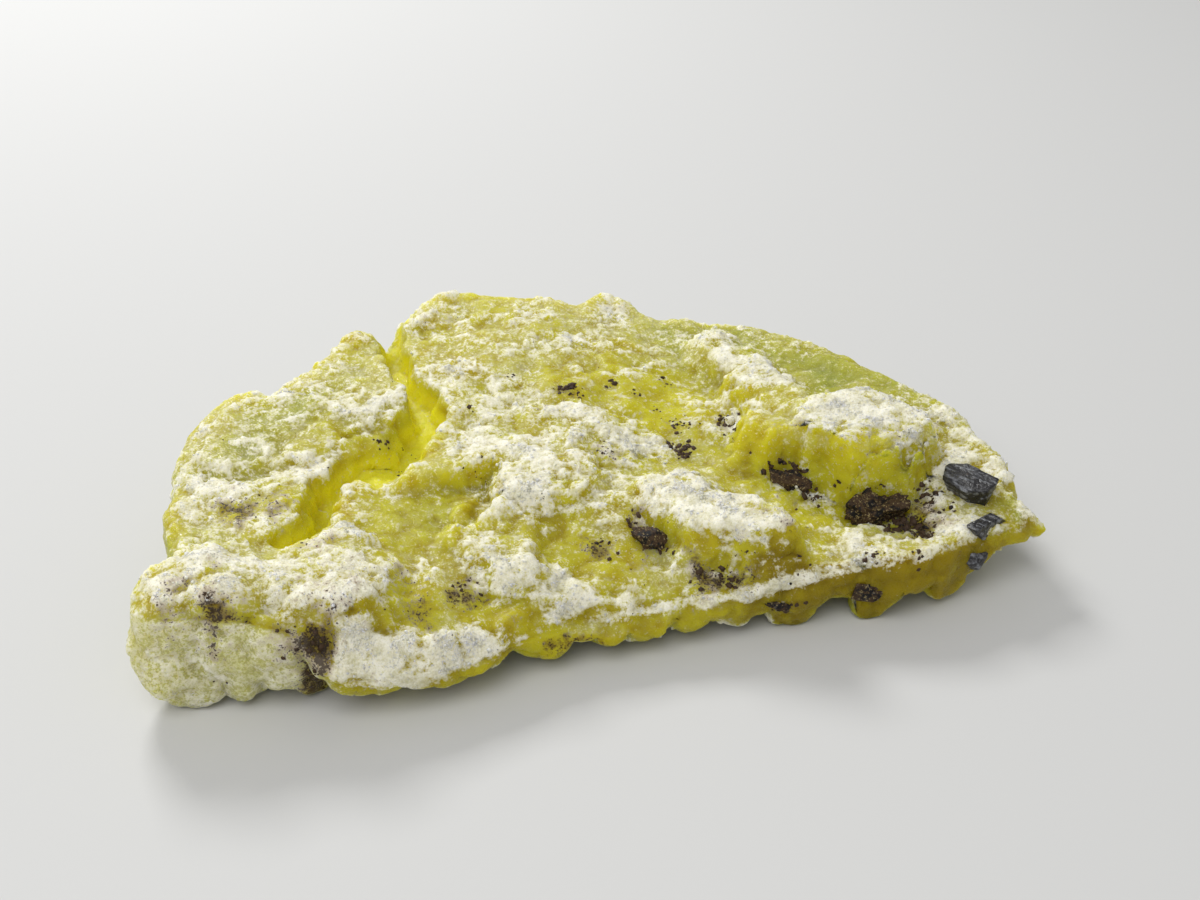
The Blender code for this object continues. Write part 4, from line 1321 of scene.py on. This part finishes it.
class Zones:
    """What kind of place each point of the surface is, as arrays from 0 to 1 with soft or ragged borders."""

    def __init__(self, form: SlabForm, grid: Array, normals: Array) -> None:
        """Works out every zone.

        Args:
            form: The fragment's form.
            grid: Positions in mm.
            normals: Unit normals there.
        """
        self.form, self.grid = form, grid
        x, y, z = self.x, self.y, self.z = np.moveaxis(grid, -1, 0)
        up, back = normals[..., 2], normals[..., 1]
        inside = smooth_step(0.15, 0.7, -outside_of(tuple(p[:2] for p in RIM), x, y))
        self.sunk = smooth_step(-0.25, -0.9, z - form.lie(x, y)) * inside * (up > -0.15)
        self.facing_up = smooth_step(0.25, 0.70, up)
        self.upper = smooth_step(-0.15, 0.15, up)
        self.clear = np.clip(self.patches(CLEAR_PATCHES), 0, 1)
        steep = 1 - self.facing_up
        self.left_block = smooth_step(-10.5, -13.5, x) * smooth_step(-7.5, -9.0, y) * steep
        elsewhere = 1 - self.left_block
        # Front-facing walls, which the finish darkens to amber as painted shade.
        self.outer = smooth_step(-0.35, -0.95, back) * smooth_step(-9.2, -10.4, y) * elsewhere
        self.hidden = (1 - inside * self.upper) * steep * elsewhere * (1 - self.outer)
        self.wall = steep * elsewhere
        # The low notch at the front, where shade is painted.
        self.notch = FRONT_NOTCH.at(x, y) * smooth_step(4.4, 3.6, z)
        top = 0.6 + 1.4 * smooth_step(-10.5, -6.5, x) + 0.4 * self.noise(1.2, 2, 161)
        self.under_lip = smooth_step(top + 0.3, top - 0.1, z) * smooth_step(-10.0, -10.6, y) * (x > -12.0)

    def noise(self, size: float, layers: int, seed: int) -> Array:
        """Layered noise at each point of the surface."""
        return layered_noise(self.grid, size, layers, seed)

    def patches(self, patches: tuple[Patch, ...], stray: float = 0.5) -> Array:
        """The strength of ragged patches at each point of the surface."""
        return patches_at(patches, self.x, self.y, stray)

    def front_face(self) -> Array:
        """The steep white face left of the middle of the front, down to the yellow strip under its lip.

        Returns:
            The zone, from 0 to 1.
        """
        strayed = self.x + 1.0 * self.noise(1.4, 3, 165)
        face = smooth_step(-12.4, -11.0, strayed) * smooth_step(-3.6, -5.2, strayed)
        face = face * smooth_step(-10.9, -11.6, self.y + 0.5 * self.noise(1.1, 2, 167))
        return face * (1 - self.under_lip)

    def plate_edges(self, reach: float = 0.9) -> Array:
        """1 at the edge of a plate, fading inside it over the reach.

        Args:
            reach: How far inside the plate it fades, in mm.

        Returns:
            The nearness, from 0 to 1.
        """
        wx, wy = self.form.wandered(self.x, self.y)
        nearness = 0.0
        for plate in PLATES:
            inside = -outside_of(plate.plan, wx, wy)
            edge = smooth_step(reach, 0.1, inside) * smooth_step(-0.3, 0.05, inside)
            nearness = np.maximum(nearness, edge)
        return nearness

    def front_rim(self, band: float) -> Array:
        """1 on the front rim, fading over the width of its band by distance in the plan and in height.

        Args:
            band: Width of the band in mm.

        Returns:
            The nearness, from 0 to 1.
        """
        rim = closed_curve(RIM, 150)
        front = rim[(rim[:, 1] < -8.4) & (rim[:, 0] > -13.5)]
        front = front[np.argsort(front[:, 0])]
        away, (height,) = nearest_on_path(front, self.x, self.y)
        below = 0.25 - 0.35 * smooth_step(8.0, 13.0, self.x)
        return smooth_step(1.0, 0.35, np.hypot(away, self.z - height + below) / band)

    def speckle(self) -> Array:
        """Noise of three sizes, one of them in streaks whose direction differs left of the furrow.

        Returns:
            The noise, from about -1 to 1.
        """
        left = smooth_step(-6.0, -8.0, self.x)
        streaks = left * streaked_noise(self.grid, 26.0, 1.9, 0.45, 141)
        streaks = streaks + (1 - left) * streaked_noise(self.grid, -15.0, 1.5, 0.45, 145)
        return 0.38 * self.noise(2.2, 2, 61) + 0.28 * self.noise(0.7, 2, 67) + 0.36 * streaks


@dataclass(frozen=True)
class MaskWeights:
    """How much each kind of place adds to a mask, or takes from it where the name says less."""

    skin_everywhere: float = 0.24
    skin_edges: float = 0.18
    skin_front_face: float = 0.3
    skin_crest: float = 0.30
    skin_veins: float = 0.28
    skin_less_steep: float = 0.55
    skin_less_sunk: float = 0.6
    skin_less_clear: float = 0.38
    skin_less_back: float = 0.12
    skin_less_under_lip: float = 0.9
    skin_less_notch: float = 0.8
    haze_everywhere: float = 0.36
    haze_noise: float = 0.38
    haze_high_wall: float = 0.70
    haze_left_block: float = 0.85
    haze_hidden: float = 0.35
    haze_less_wall: float = 0.45
    haze_less_sunk: float = 0.6
    haze_less_clear: float = 0.50
    haze_less_outer: float = 0.8
    green_left_block: float = 0.6
    # Painted shade in the notch at the front, carried by the stain mask.
    painted_shade_in_notch: float = 1.8
    stain_hidden: float = 0.7
    stain_outer: float = 0.8
    stain_most: float = 1.5
    # How much walls add to, and green places take from, the mask that clears haze and paints glow.
    clear_and_painted_glow_wall: float = 0.2
    clear_and_painted_glow_less_green: float = 0.7


@dataclass
class BruciteMass:
    """The brucite itself: the fragment's form with fine relief and the masks that its finish reads."""

    form: SlabForm = field(default_factory=SlabForm)
    finish: BruciteFinish = field(default_factory=BruciteFinish)
    weights: MaskWeights = field(default_factory=MaskWeights)
    triangles: int = 194000
    lump_size: float = 1.5
    lump_height: float = 0.14
    knob_size: float = 0.75
    knob_height: float = 0.095
    grit_size: float = 0.34
    grit_height: float = 0.07
    skin_thickness: float = 0.05
    bead_size: float = 0.38
    bead_height: float = 0.07
    wall_knob_size: float = 1.15
    wall_knob_height: float = 0.30
    block_lump_size: float = 2.1
    block_lump_height: float = 0.45
    vein_size: float = 0.6
    vein_height: float = 0.04
    rim_band: float = 0.55
    surface: Array | None = None
    normals: Array | None = None
    masks: dict[Mask, Array] = field(default_factory=dict)

    def crest(self, grid: Array) -> Array:
        """How high each point lies on its own knob and grit, from 0 to 1."""
        crest = 0.5 + 0.55 * (bead_noise(grid, self.knob_size, 101) - 0.55)
        return np.clip(crest + 0.35 * layered_noise(grid, self.grit_size, 2, 89), 0, 1)

    def skin(self, zones: Zones, crest: Array) -> Array:
        """Where the white skin lies, from 0 to 1.

        It lies where the surface faces up, on plate edges and along the rim, and on its own patches. It is
        thinned by depth below the smooth lie, by clear patches, and by noise of three sizes. On the back and
        underneath it lies in crusts by noise alone.

        Args:
            zones: The kind of place at each point.
            crest: How high each point lies on its own knob.

        Returns:
            The mask.
        """
        w, below = self.weights, zones.under_lip
        finer_veins = vein_noise(zones.grid, self.vein_size, 137)
        veins = np.maximum(vein_noise(zones.grid, 1.2, 131), 0.8 * finer_veins)
        speckle, front_face = zones.speckle(), zones.front_face()
        skin = w.skin_everywhere + speckle + zones.patches(SKIN_PATCHES) + w.skin_edges * zones.plate_edges()
        skin = skin - w.skin_less_steep * (1 - zones.facing_up) * (1 - front_face)
        skin = skin - w.skin_less_sunk * zones.sunk * (zones.z > 2.4) - w.skin_less_clear * zones.clear
        skin = skin + w.skin_front_face * front_face - w.skin_less_back * smooth_step(6.0, 9.5, zones.y)
        skin = skin - w.skin_less_under_lip * below
        on_skin = smooth_step(0.05, 0.3, skin)
        skin = skin + w.skin_crest * (crest - 0.5) + w.skin_veins * (veins - 0.3) * on_skin
        skin = np.clip(skin, 0, 1) * zones.upper
        skin = np.maximum(skin, zones.left_block * (0.36 + 0.45 * zones.noise(1.3, 3, 73)))
        rim_frost = zones.front_rim(self.rim_band) * (0.75 + 0.4 * zones.noise(0.9, 2, 75))
        skin = np.maximum(skin, rim_frost * (1 - below))
        crusts = smooth_step(-0.25, 0.35, zones.noise(3.4, 2, 63)) * (0.42 + 0.6 * (veins - 0.3))
        skin = np.maximum(skin, zones.hidden * (crusts + w.skin_crest * (crest - 0.5) + speckle))
        # No white skin in the notch, where shade is painted.
        return skin * (1 - w.skin_less_notch * np.clip(zones.notch, 0, 1))

    def haze(self, zones: Zones) -> Array:
        """Where the yellow is cloudy: less on low walls and in hollows, more on the left block.

        Args:
            zones: The kind of place at each point.

        Returns:
            The mask.
        """
        w = self.weights
        haze = w.haze_everywhere + w.haze_noise * zones.noise(1.8, 2, 71) - w.haze_less_wall * zones.wall
        haze = haze - w.haze_less_sunk * zones.sunk - w.haze_less_clear * zones.clear
        high_up = w.haze_high_wall * smooth_step(4.6, 6.0, zones.z)
        haze = haze + zones.wall * (high_up + 0.3 * zones.noise(0.9, 2, 77))
        haze = haze + w.haze_left_block * zones.left_block + w.haze_hidden * zones.hidden
        return np.clip(haze, 0, 1) * (1 - w.haze_less_outer * zones.outer)

    def green(self, zones: Zones) -> Array:
        """Where the brucite is olive: on patches, on the left block and in clouds on hidden sides.

        Args:
            zones: The kind of place at each point.

        Returns:
            The mask.
        """
        green = zones.patches(GREEN_PATCHES) * (0.9 + 0.5 * zones.noise(1.6, 2, 79))
        green = green + self.weights.green_left_block * zones.left_block
        green = green + zones.hidden * (0.45 + 0.9 * zones.noise(4.0, 2, 81))
        return np.clip(green, 0, 1)

    def stain_and_shade(self, zones: Zones) -> Array:
        """Where it is stained, on patches, round specks and in blots on the other sides, and where shade is
        painted in the notch at the front.

        Args:
            zones: The kind of place at each point.

        Returns:
            The mask.
        """
        w = self.weights
        on_walls = np.where(zones.y > -8.5, 0.25 + 0.75 * zones.facing_up, 1.0)
        stain_and_shade = zones.patches(STAIN_PATCHES, 0.9) * zones.upper * on_walls
        stain_and_shade = stain_and_shade + zones.patches(SPECK_HALOS, 0.2) * zones.facing_up + w.painted_shade_in_notch * zones.notch
        blots = zones.noise(2.6, 2, 87)
        stain_and_shade = stain_and_shade + w.stain_hidden * zones.hidden * smooth_step(0.30, 0.62, blots)
        away_from_tip = smooth_step(15.5, 14.5, zones.x)
        stain_and_shade = stain_and_shade + w.stain_outer * zones.outer * smooth_step(0.2, 0.5, blots) * away_from_tip
        return np.clip(stain_and_shade, 0, w.stain_most)

    def marked(self, grid: Array, normals: Array) -> dict[Mask, Array]:
        """The masks at each point of the surface.

        Args:
            grid: Positions in mm.
            normals: Unit normals there.

        Returns:
            An array for each mask.
        """
        zones = Zones(self.form, grid, normals)
        crest, green = self.crest(grid), self.green(zones)
        w = self.weights
        # Sunk places, walls and glow patches: clearer brucite there, and painted glow in the finish.
        clear_and_painted_glow = np.clip(zones.sunk + w.clear_and_painted_glow_wall * zones.wall + zones.patches(PAINTED_GLOW_PATCHES), 0, 1)
        # Front walls, more towards the right, and the shade patches: painted shade in the finish, and less
        # haze.
        outer = zones.outer * (0.40 + 0.60 * smooth_step(2.0, 9.0, zones.x)) + zones.patches(PAINTED_SHADE_PATCHES)
        return {
            Mask.SKIN: self.skin(zones, crest),
            Mask.HAZE: self.haze(zones),
            Mask.GREEN: green,
            Mask.STAIN_AND_SHADE: self.stain_and_shade(zones),
            Mask.CLEAR_AND_PAINTED_GLOW: clear_and_painted_glow * (1 - zones.left_block) * (1 - w.clear_and_painted_glow_less_green * green),
            Mask.OUTER: np.clip(outer, 0, 1),
            Mask.CREST: crest,
        }

    def relief(self, grid: Array, normals: Array, skin: Array) -> Array:
        """How far each point stands out, in mm.

        Lumps, knobs and grit everywhere, larger knobs on walls and on the block at the left end of the front,
        and beads and fine lines under the skin.

        Args:
            grid: Positions in mm.
            normals: Unit normals there.
            skin: The skin mask.

        Returns:
            The heights.
        """
        rough = self.lump_height * layered_noise(grid, self.lump_size, 2, 83)
        rough = rough + self.knob_height * (bead_noise(grid, self.knob_size, 101) - 0.6)
        rough = rough + self.grit_height * layered_noise(grid, self.grit_size, 2, 89)
        wall = smooth_step(0.75, 0.35, normals[..., 2]) * smooth_step(0.3, 1.4, grid[..., 2])
        wall = wall * (0.45 + 0.55 * smooth_step(-8.5, -10.0, grid[..., 1]))
        rough = rough + wall * self.wall_knob_height * (bead_noise(grid, self.wall_knob_size, 103) - 0.6)
        block = smooth_step(-11.5, -13.0, grid[..., 0]) * smooth_step(-8.5, -10.0, grid[..., 1])
        rough = rough + block * self.block_lump_height * (bead_noise(grid, self.block_lump_size, 107) - 0.6)
        veins = vein_noise(grid, self.vein_size, 137)
        rough = rough + self.vein_height * veins * smooth_step(0.1, 0.4, skin)
        cover = smooth_step(0.30, 0.65, skin)
        return rough + cover * (self.skin_thickness + self.bead_height * bead_noise(grid, self.bead_size, 97))

    def build(self) -> bpy.types.Object:
        """Makes the piece in place of the plain solid.

        Returns:
            The piece.
        """
        grid = self.form.grid()
        normals = grid_normals(grid)
        self.masks = self.marked(grid, normals)
        lift = self.relief(grid, normals, self.masks[Mask.SKIN])
        lift[0], lift[-1] = lift[0].mean(), lift[-1].mean()
        grid = grid + normals * lift[..., None]
        grid = within_box(grid)
        self.surface, self.normals = grid, grid_normals(grid)
        values = {mask.value: closed_values(value) for mask, value in self.masks.items()}
        rows, columns = grid.shape[:2]
        mesh = mesh_of("brucite_mass", closed_values(grid), closed_faces(rows, columns), values)
        mesh = thinned("brucite_mass", mesh, self.triangles / (2 * rows * columns))
        piece = place_piece("brucite_mass", mesh, self.finish.material())
        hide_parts("brucite")
        return piece


# ---- Small grains, many in one mesh --------------------------------------------------------------


def random_turns(rng: np.random.Generator, count: int) -> Array:
    """Random rotation matrices, each worked out from a random unit quaternion.

    Args:
        rng: The source of the numbers.
        count: How many.

    Returns:
        An array of count x 3 x 3.
    """
    turns = rng.normal(size=(count, 4))
    w, x, y, z = (turns / np.linalg.norm(turns, axis=1)[:, None]).T
    rows = (
        (1 - 2 * (y * y + z * z), 2 * (x * y - z * w), 2 * (x * z + y * w)),
        (2 * (x * y + z * w), 1 - 2 * (x * x + z * z), 2 * (y * z - x * w)),
        (2 * (x * z - y * w), 2 * (y * z + x * w), 1 - 2 * (x * x + y * y)),
    )
    return np.stack([np.stack(row, -1) for row in rows], 1)


def scattered_grains(
    centres: Array, sizes: Array, rows: int, columns: int, seed: int
) -> tuple[Array, list[Array]]:
    """Small irregular grains at given places, all in one mesh.

    Each grain is a ball of a few faces whose corners go in and out at random, and which is stretched along
    three random axes.

    Args:
        centres: Middles of the grains in mm.
        sizes: Their mean radii in mm.
        rows, columns: How finely the ball is divided.
        seed: Chooses the shapes.

    Returns:
        The vertices, and the faces by number of corners.
    """
    rng = np.random.default_rng(seed)
    theta = np.linspace(0, np.pi, rows)[:, None]
    phi = np.linspace(0, 2 * np.pi, columns, endpoint=False)[None, :] + theta
    ball = closed_values(directions(theta, phi))
    count = len(centres)
    reach = rng.uniform(0.72, 1.18, (count, len(ball), 1)) * sizes[:, None, None]
    stretch = rng.uniform(0.55, 1.4, (count, 1, 3))
    points = np.einsum("nij,nkj->nki", random_turns(rng, count), ball[None] * reach * stretch)
    points = points + centres[:, None, :]
    offsets = (np.arange(count) * len(ball))[:, None, None]
    faces = [(f[None] + offsets).reshape(-1, f.shape[1]) for f in closed_faces(rows, columns)]
    return points.reshape(-1, 3), faces


@dataclass
class FrostGrains:
    """White crystal grains that stand on the brucite wherever its skin is thick."""

    count: int = 5200
    smallest: float = 0.03
    largest: float = 0.13
    sunk: float = 0.45
    thinnest_skin: float = 0.4
    lowest: float = 1.0
    seed: int = 201
    rows: int = 4
    columns: int = 5

    def build(self, mass: BruciteMass) -> bpy.types.Object:
        """Makes the grains in tufts, at points chosen by area and by the square of the skin's thickness.

        Args:
            mass: The brucite, already built.

        Returns:
            The piece.
        """
        rng = np.random.default_rng(self.seed)
        skin, grid, normals = mass.masks[Mask.SKIN], mass.surface, mass.normals
        sides = [np.linalg.norm(np.gradient(grid, axis=axis), axis=2) for axis in (0, 1)]
        tufts = smooth_step(0.0, 0.5, layered_noise(grid, 0.9, 2, 151)) + 0.1
        thick = np.clip(skin - self.thinnest_skin, 0, 1) ** 2
        weight = (sides[0] * sides[1] * tufts * thick * (grid[..., 2] > self.lowest)).ravel()
        chosen = rng.choice(len(weight), self.count, replace=False, p=weight / weight.sum())
        sizes = self.smallest + (self.largest - self.smallest) * rng.beta(1.2, 3.5, self.count)
        centres = grid.reshape(-1, 3)[chosen] - normals.reshape(-1, 3)[chosen] * (sizes * self.sunk)[:, None]
        vertices, faces = scattered_grains(centres, sizes, self.rows, self.columns, self.seed)
        mesh = mesh_of("frost_grains", within_box(vertices), faces, {})
        return place_piece("frost_grains", mesh, FrostFinish().material())


@dataclass
class DarkSpecks:
    """Small dark grains set in the brucite, single or in clusters round the larger ones."""

    clusters: tuple[Cluster, ...]
    finish: DarkMineralFinish = DarkMineralFinish(
        "speck_mineral", gleam_share=0.05, brown_share=0.9, smoothest=0.35, shine=0.3
    )
    seed: int = 301
    rows: int = 5
    columns: int = 7

    def build(self, mass: BruciteMass) -> bpy.types.Object:
        """Makes the specks, each at the surface's nearest point in the plan that isn't far above the lie.

        Args:
            mass: The brucite, already built.

        Returns:
            The piece.
        """
        rng = np.random.default_rng(self.seed)
        keep = (mass.surface[..., 2] > 1.3) & (mass.normals[..., 2] > -0.2)
        surface, normals = mass.surface[keep], mass.normals[keep]
        rise = np.maximum(surface[:, 2] - mass.form.lie(surface[:, 0], surface[:, 1]) - 0.7, 0)
        places, sizes = [], []
        for cluster in self.clusters:
            spread = rng.normal(size=(cluster.count, 2)) * cluster.spread * (cluster.count > 1)
            places.append(np.array((cluster.x, cluster.y)) + spread)
            sizes.append(cluster.radius * rng.uniform(0.35, 1.2, cluster.count))
        plan, radii = np.concatenate(places), np.concatenate(sizes)
        nearest = np.array([np.argmin(np.hypot(*(surface[:, :2] - at).T) + rise) for at in plan])
        centres = surface[nearest] - normals[nearest] * (radii * 0.45)[:, None]
        vertices, faces = scattered_grains(centres, radii, self.rows, self.columns, self.seed)
        mesh = mesh_of("dark_specks", within_box(vertices), faces, {})
        return place_piece("dark_specks", mesh, self.finish.material())


# ---- The dark grains -----------------------------------------------------------------------------


@dataclass(frozen=True)
class DarkGrain:
    """A dark mineral grain: a block cut by flat faces, at its centre, with its half sizes and two turns."""

    node: str
    centre: tuple[float, float, float]
    half_sizes: tuple[float, float, float]
    turns: tuple[float, float]
    faces: int
    seed: int
    roughness: float = 0.06
    rows: int = 60
    columns: int = 96

    def planes(self) -> tuple[Array, Array]:
        """Normals and distances of the block's six sides and of the faces that cut it.

        Returns:
            The unit normals and the distances.
        """
        rng = np.random.default_rng(self.seed)
        normals = rng.normal(size=(self.faces, 3))
        normals /= np.linalg.norm(normals, axis=1)[:, None]
        reach = np.linalg.norm(normals * np.array(self.half_sizes), axis=1)
        distances = reach * rng.uniform(0.72, 0.92, self.faces)
        sides = np.concatenate((np.eye(3), -np.eye(3)))
        return np.concatenate((normals, sides)), np.concatenate((distances, self.half_sizes, self.half_sizes))

    def grid(self) -> Array:
        """The grain's surface: from its middle, each direction goes out to the nearest of its planes.

        The two parameters are the angle from the grain's own top and the angle round it. The distance is the
        least of plane distance over the cosine between direction and plane normal, roughened by noise.

        Returns:
            An array of rows x columns x 3, in mm.
        """
        theta = np.linspace(0, np.pi, self.rows)[:, None]
        phi = np.linspace(0, 2 * np.pi, self.columns, endpoint=False)[None, :]
        out = directions(theta, phi) * np.array(self.half_sizes)
        out = out / np.linalg.norm(out, axis=-1)[..., None]
        normals, distances = self.planes()
        facing = np.maximum(out @ normals.T, 1e-3)
        reach = (distances / facing).min(-1)
        points = out * reach[..., None]
        turn_z, turn_x = np.radians(self.turns)
        cz, sz, cx, sx = math.cos(turn_z), math.sin(turn_z), math.cos(turn_x), math.sin(turn_x)
        about_z = np.array(((cz, -sz, 0), (sz, cz, 0), (0, 0, 1)))
        about_x = np.array(((1, 0, 0), (0, cx, -sx), (0, sx, cx)))
        points = points @ (about_z @ about_x).T + np.array(self.centre)
        inward = np.array(self.centre) - points
        lumps = layered_noise(points, 0.35, 3, self.seed) + value_noise(*points.T, self.seed).T
        bite = self.roughness * lumps
        bite = bite + 0.5 * self.roughness * (1 - bead_noise(points, 0.32, self.seed + 60))
        return points + inward * np.clip(bite, -0.08, 0.5)[..., None]

    def build(self, material: bpy.types.Material) -> bpy.types.Object:
        """Makes the piece in place of the plain grain.

        Args:
            material: The finish of its group.

        Returns:
            The piece.
        """
        grid = self.grid()
        mesh = mesh_of(self.node + "_rough", closed_values(grid), closed_faces(self.rows, self.columns), {})
        piece = place_piece(self.node + "_rough", mesh, material)
        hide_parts(self.node)
        return piece


@dataclass
class DarkGrains:
    """All the dark grains, black ones at the pointed end and umber ones in the hollows."""

    black: tuple[DarkGrain, ...] = each(
        DarkGrain,
        ("black_grain_upper", (16.70, -7.45, 3.85), (1.45, 0.80, 0.75), (-62.0, 18.0), 9, 3),
        ("black_grain_lower", (16.65, -9.50, 3.20), (1.20, 0.50, 0.50), (26.0, -8.0), 8, 11),
        ("black_grain_wall", (15.80, -10.25, 2.10), (0.50, 0.50, 0.42), (25.0, 0.0), 8, 5),
    )
    umber: tuple[DarkGrain, ...] = each(
        DarkGrain,
        ("dark_seam_under_block", (12.20, -7.25, 3.15), (1.55, 0.75, 0.65), (-16.0, 10.0), 14, 7, 0.35),
        ("dark_grain_ledge", (9.10, -4.85, 3.60), (1.05, 0.45, 0.50), (-24.0, 0.0), 10, 9, 0.35),
        ("dark_grain_pit", (2.15, -7.65, 3.45), (0.85, 0.60, 0.60), (-60.0, 12.0), 10, 13, 0.30),
        ("dark_grain_front_lobe", (11.00, -10.75, 1.75), (0.75, 0.50, 0.45), (10.0, 0.0), 9, 17, 0.25),
        ("dark_streak_front_wall", (7.20, -10.60, 1.50), (1.05, 0.45, 0.32), (4.0, 0.0), 10, 19, 0.25),
    )
    black_finish: DarkMineralFinish = DarkMineralFinish("black_mineral")
    umber_finish: DarkMineralFinish = DarkMineralFinish(
        "umber_mineral", gleam_share=0.05, brown_share=0.7, crumb_share=0.4, smoothest=0.45, shine=0.25
    )

    def build(self) -> None:
        """Makes every grain with its finish."""
        for grains, finish in ((self.black, self.black_finish), (self.umber, self.umber_finish)):
            material = finish.material()
            for grain in grains:
                grain.build(material)


# ---- Studio --------------------------------------------------------------------------------------


@dataclass(frozen=True)
class Lamp:
    """A square soft light that faces the specimen: its place and side in mm, and its power in watts."""

    name: str
    place: tuple[float, float, float]
    side: float
    power: float

    def build(self) -> None:
        """Adds the light, turned towards the origin."""
        data = bpy.data.lights.new(self.name, "AREA")
        data.size = self.side * MM
        data.energy = self.power
        lamp = linked(self.name, data)
        x, y, z = self.place
        lamp.location = (x * MM, y * MM, z * MM)
        lamp.rotation_euler = (math.atan2(math.hypot(x, y), z), 0.0, math.atan2(y, x) + math.pi / 2)


@dataclass
class Studio:
    """The camera, the floor and soft lights, the key light behind and above the specimen."""

    target: tuple[float, float, float] = (1.6, 0.25, 3.0)
    azimuth: float = -12.5
    elevation: float = 34.0
    distance: float = 78.0
    lens: float = 50.0
    floor_size: float = 900.0
    sensor_width: float = 36.0
    world_strength: float = 0.38
    lamps: tuple[Lamp, ...] = (
        Lamp("key", place=(-45.0, 140.0, 130.0), side=55.0, power=0.235),
        Lamp("fill", place=(-60.0, -90.0, 170.0), side=140.0, power=0.20),
    )

    def camera(self) -> None:
        """Sets up the camera, looking at the target from its azimuth, elevation and distance."""
        turn, rise = math.radians(self.azimuth), math.radians(self.elevation)
        data = bpy.data.cameras.new("camera")
        data.sensor_width = self.sensor_width
        data.lens = self.lens
        data.clip_start = 1.0 * MM
        camera = linked("camera", data)
        away = (math.sin(turn) * math.cos(rise), -math.cos(turn) * math.cos(rise), math.sin(rise))
        camera.location = [(t + self.distance * d) * MM for t, d in zip(self.target, away)]
        camera.rotation_euler = (math.pi / 2 - rise, 0.0, turn)
        bpy.context.scene.camera = camera

    def floor(self) -> None:
        """Lays the floor under the feet."""
        half = 0.5 * self.floor_size
        corners = np.array(((-half, -half, 0), (half, -half, 0), (half, half, 0), (-half, half, 0)))
        mesh = mesh_of("floor", corners, [np.array(((0, 1, 2, 3),))], {})
        mesh.materials.append(FloorFinish().material())
        linked("floor", mesh)

    def build(self) -> None:
        """Sets up the whole studio."""
        self.camera()
        self.floor()
        for lamp in self.lamps:
            lamp.build()
        world = bpy.data.worlds.new("studio")
        world.use_nodes = True
        sky = world.node_tree.nodes["Background"].inputs
        sky["Color"].default_value = (1.0, 1.0, 1.0, 1.0)
        sky["Strength"].default_value = self.world_strength
        bpy.context.scene.world = world
        bpy.context.scene.view_settings.view_transform = "Standard"
        LOG.info("studio ready")


# ---- Making --------------------------------------------------------------------------------------


def main() -> None:
    """Builds the studio and the pieces."""
    logging.basicConfig(level=logging.INFO, format="%(name)s %(message)s")
    Studio().build()
    mass = BruciteMass()
    mass.build()
    FrostGrains().build(mass)
    DarkGrains().build()
    DarkSpecks(SPECKS).build(mass)


if __name__ == "__main__":
    main()
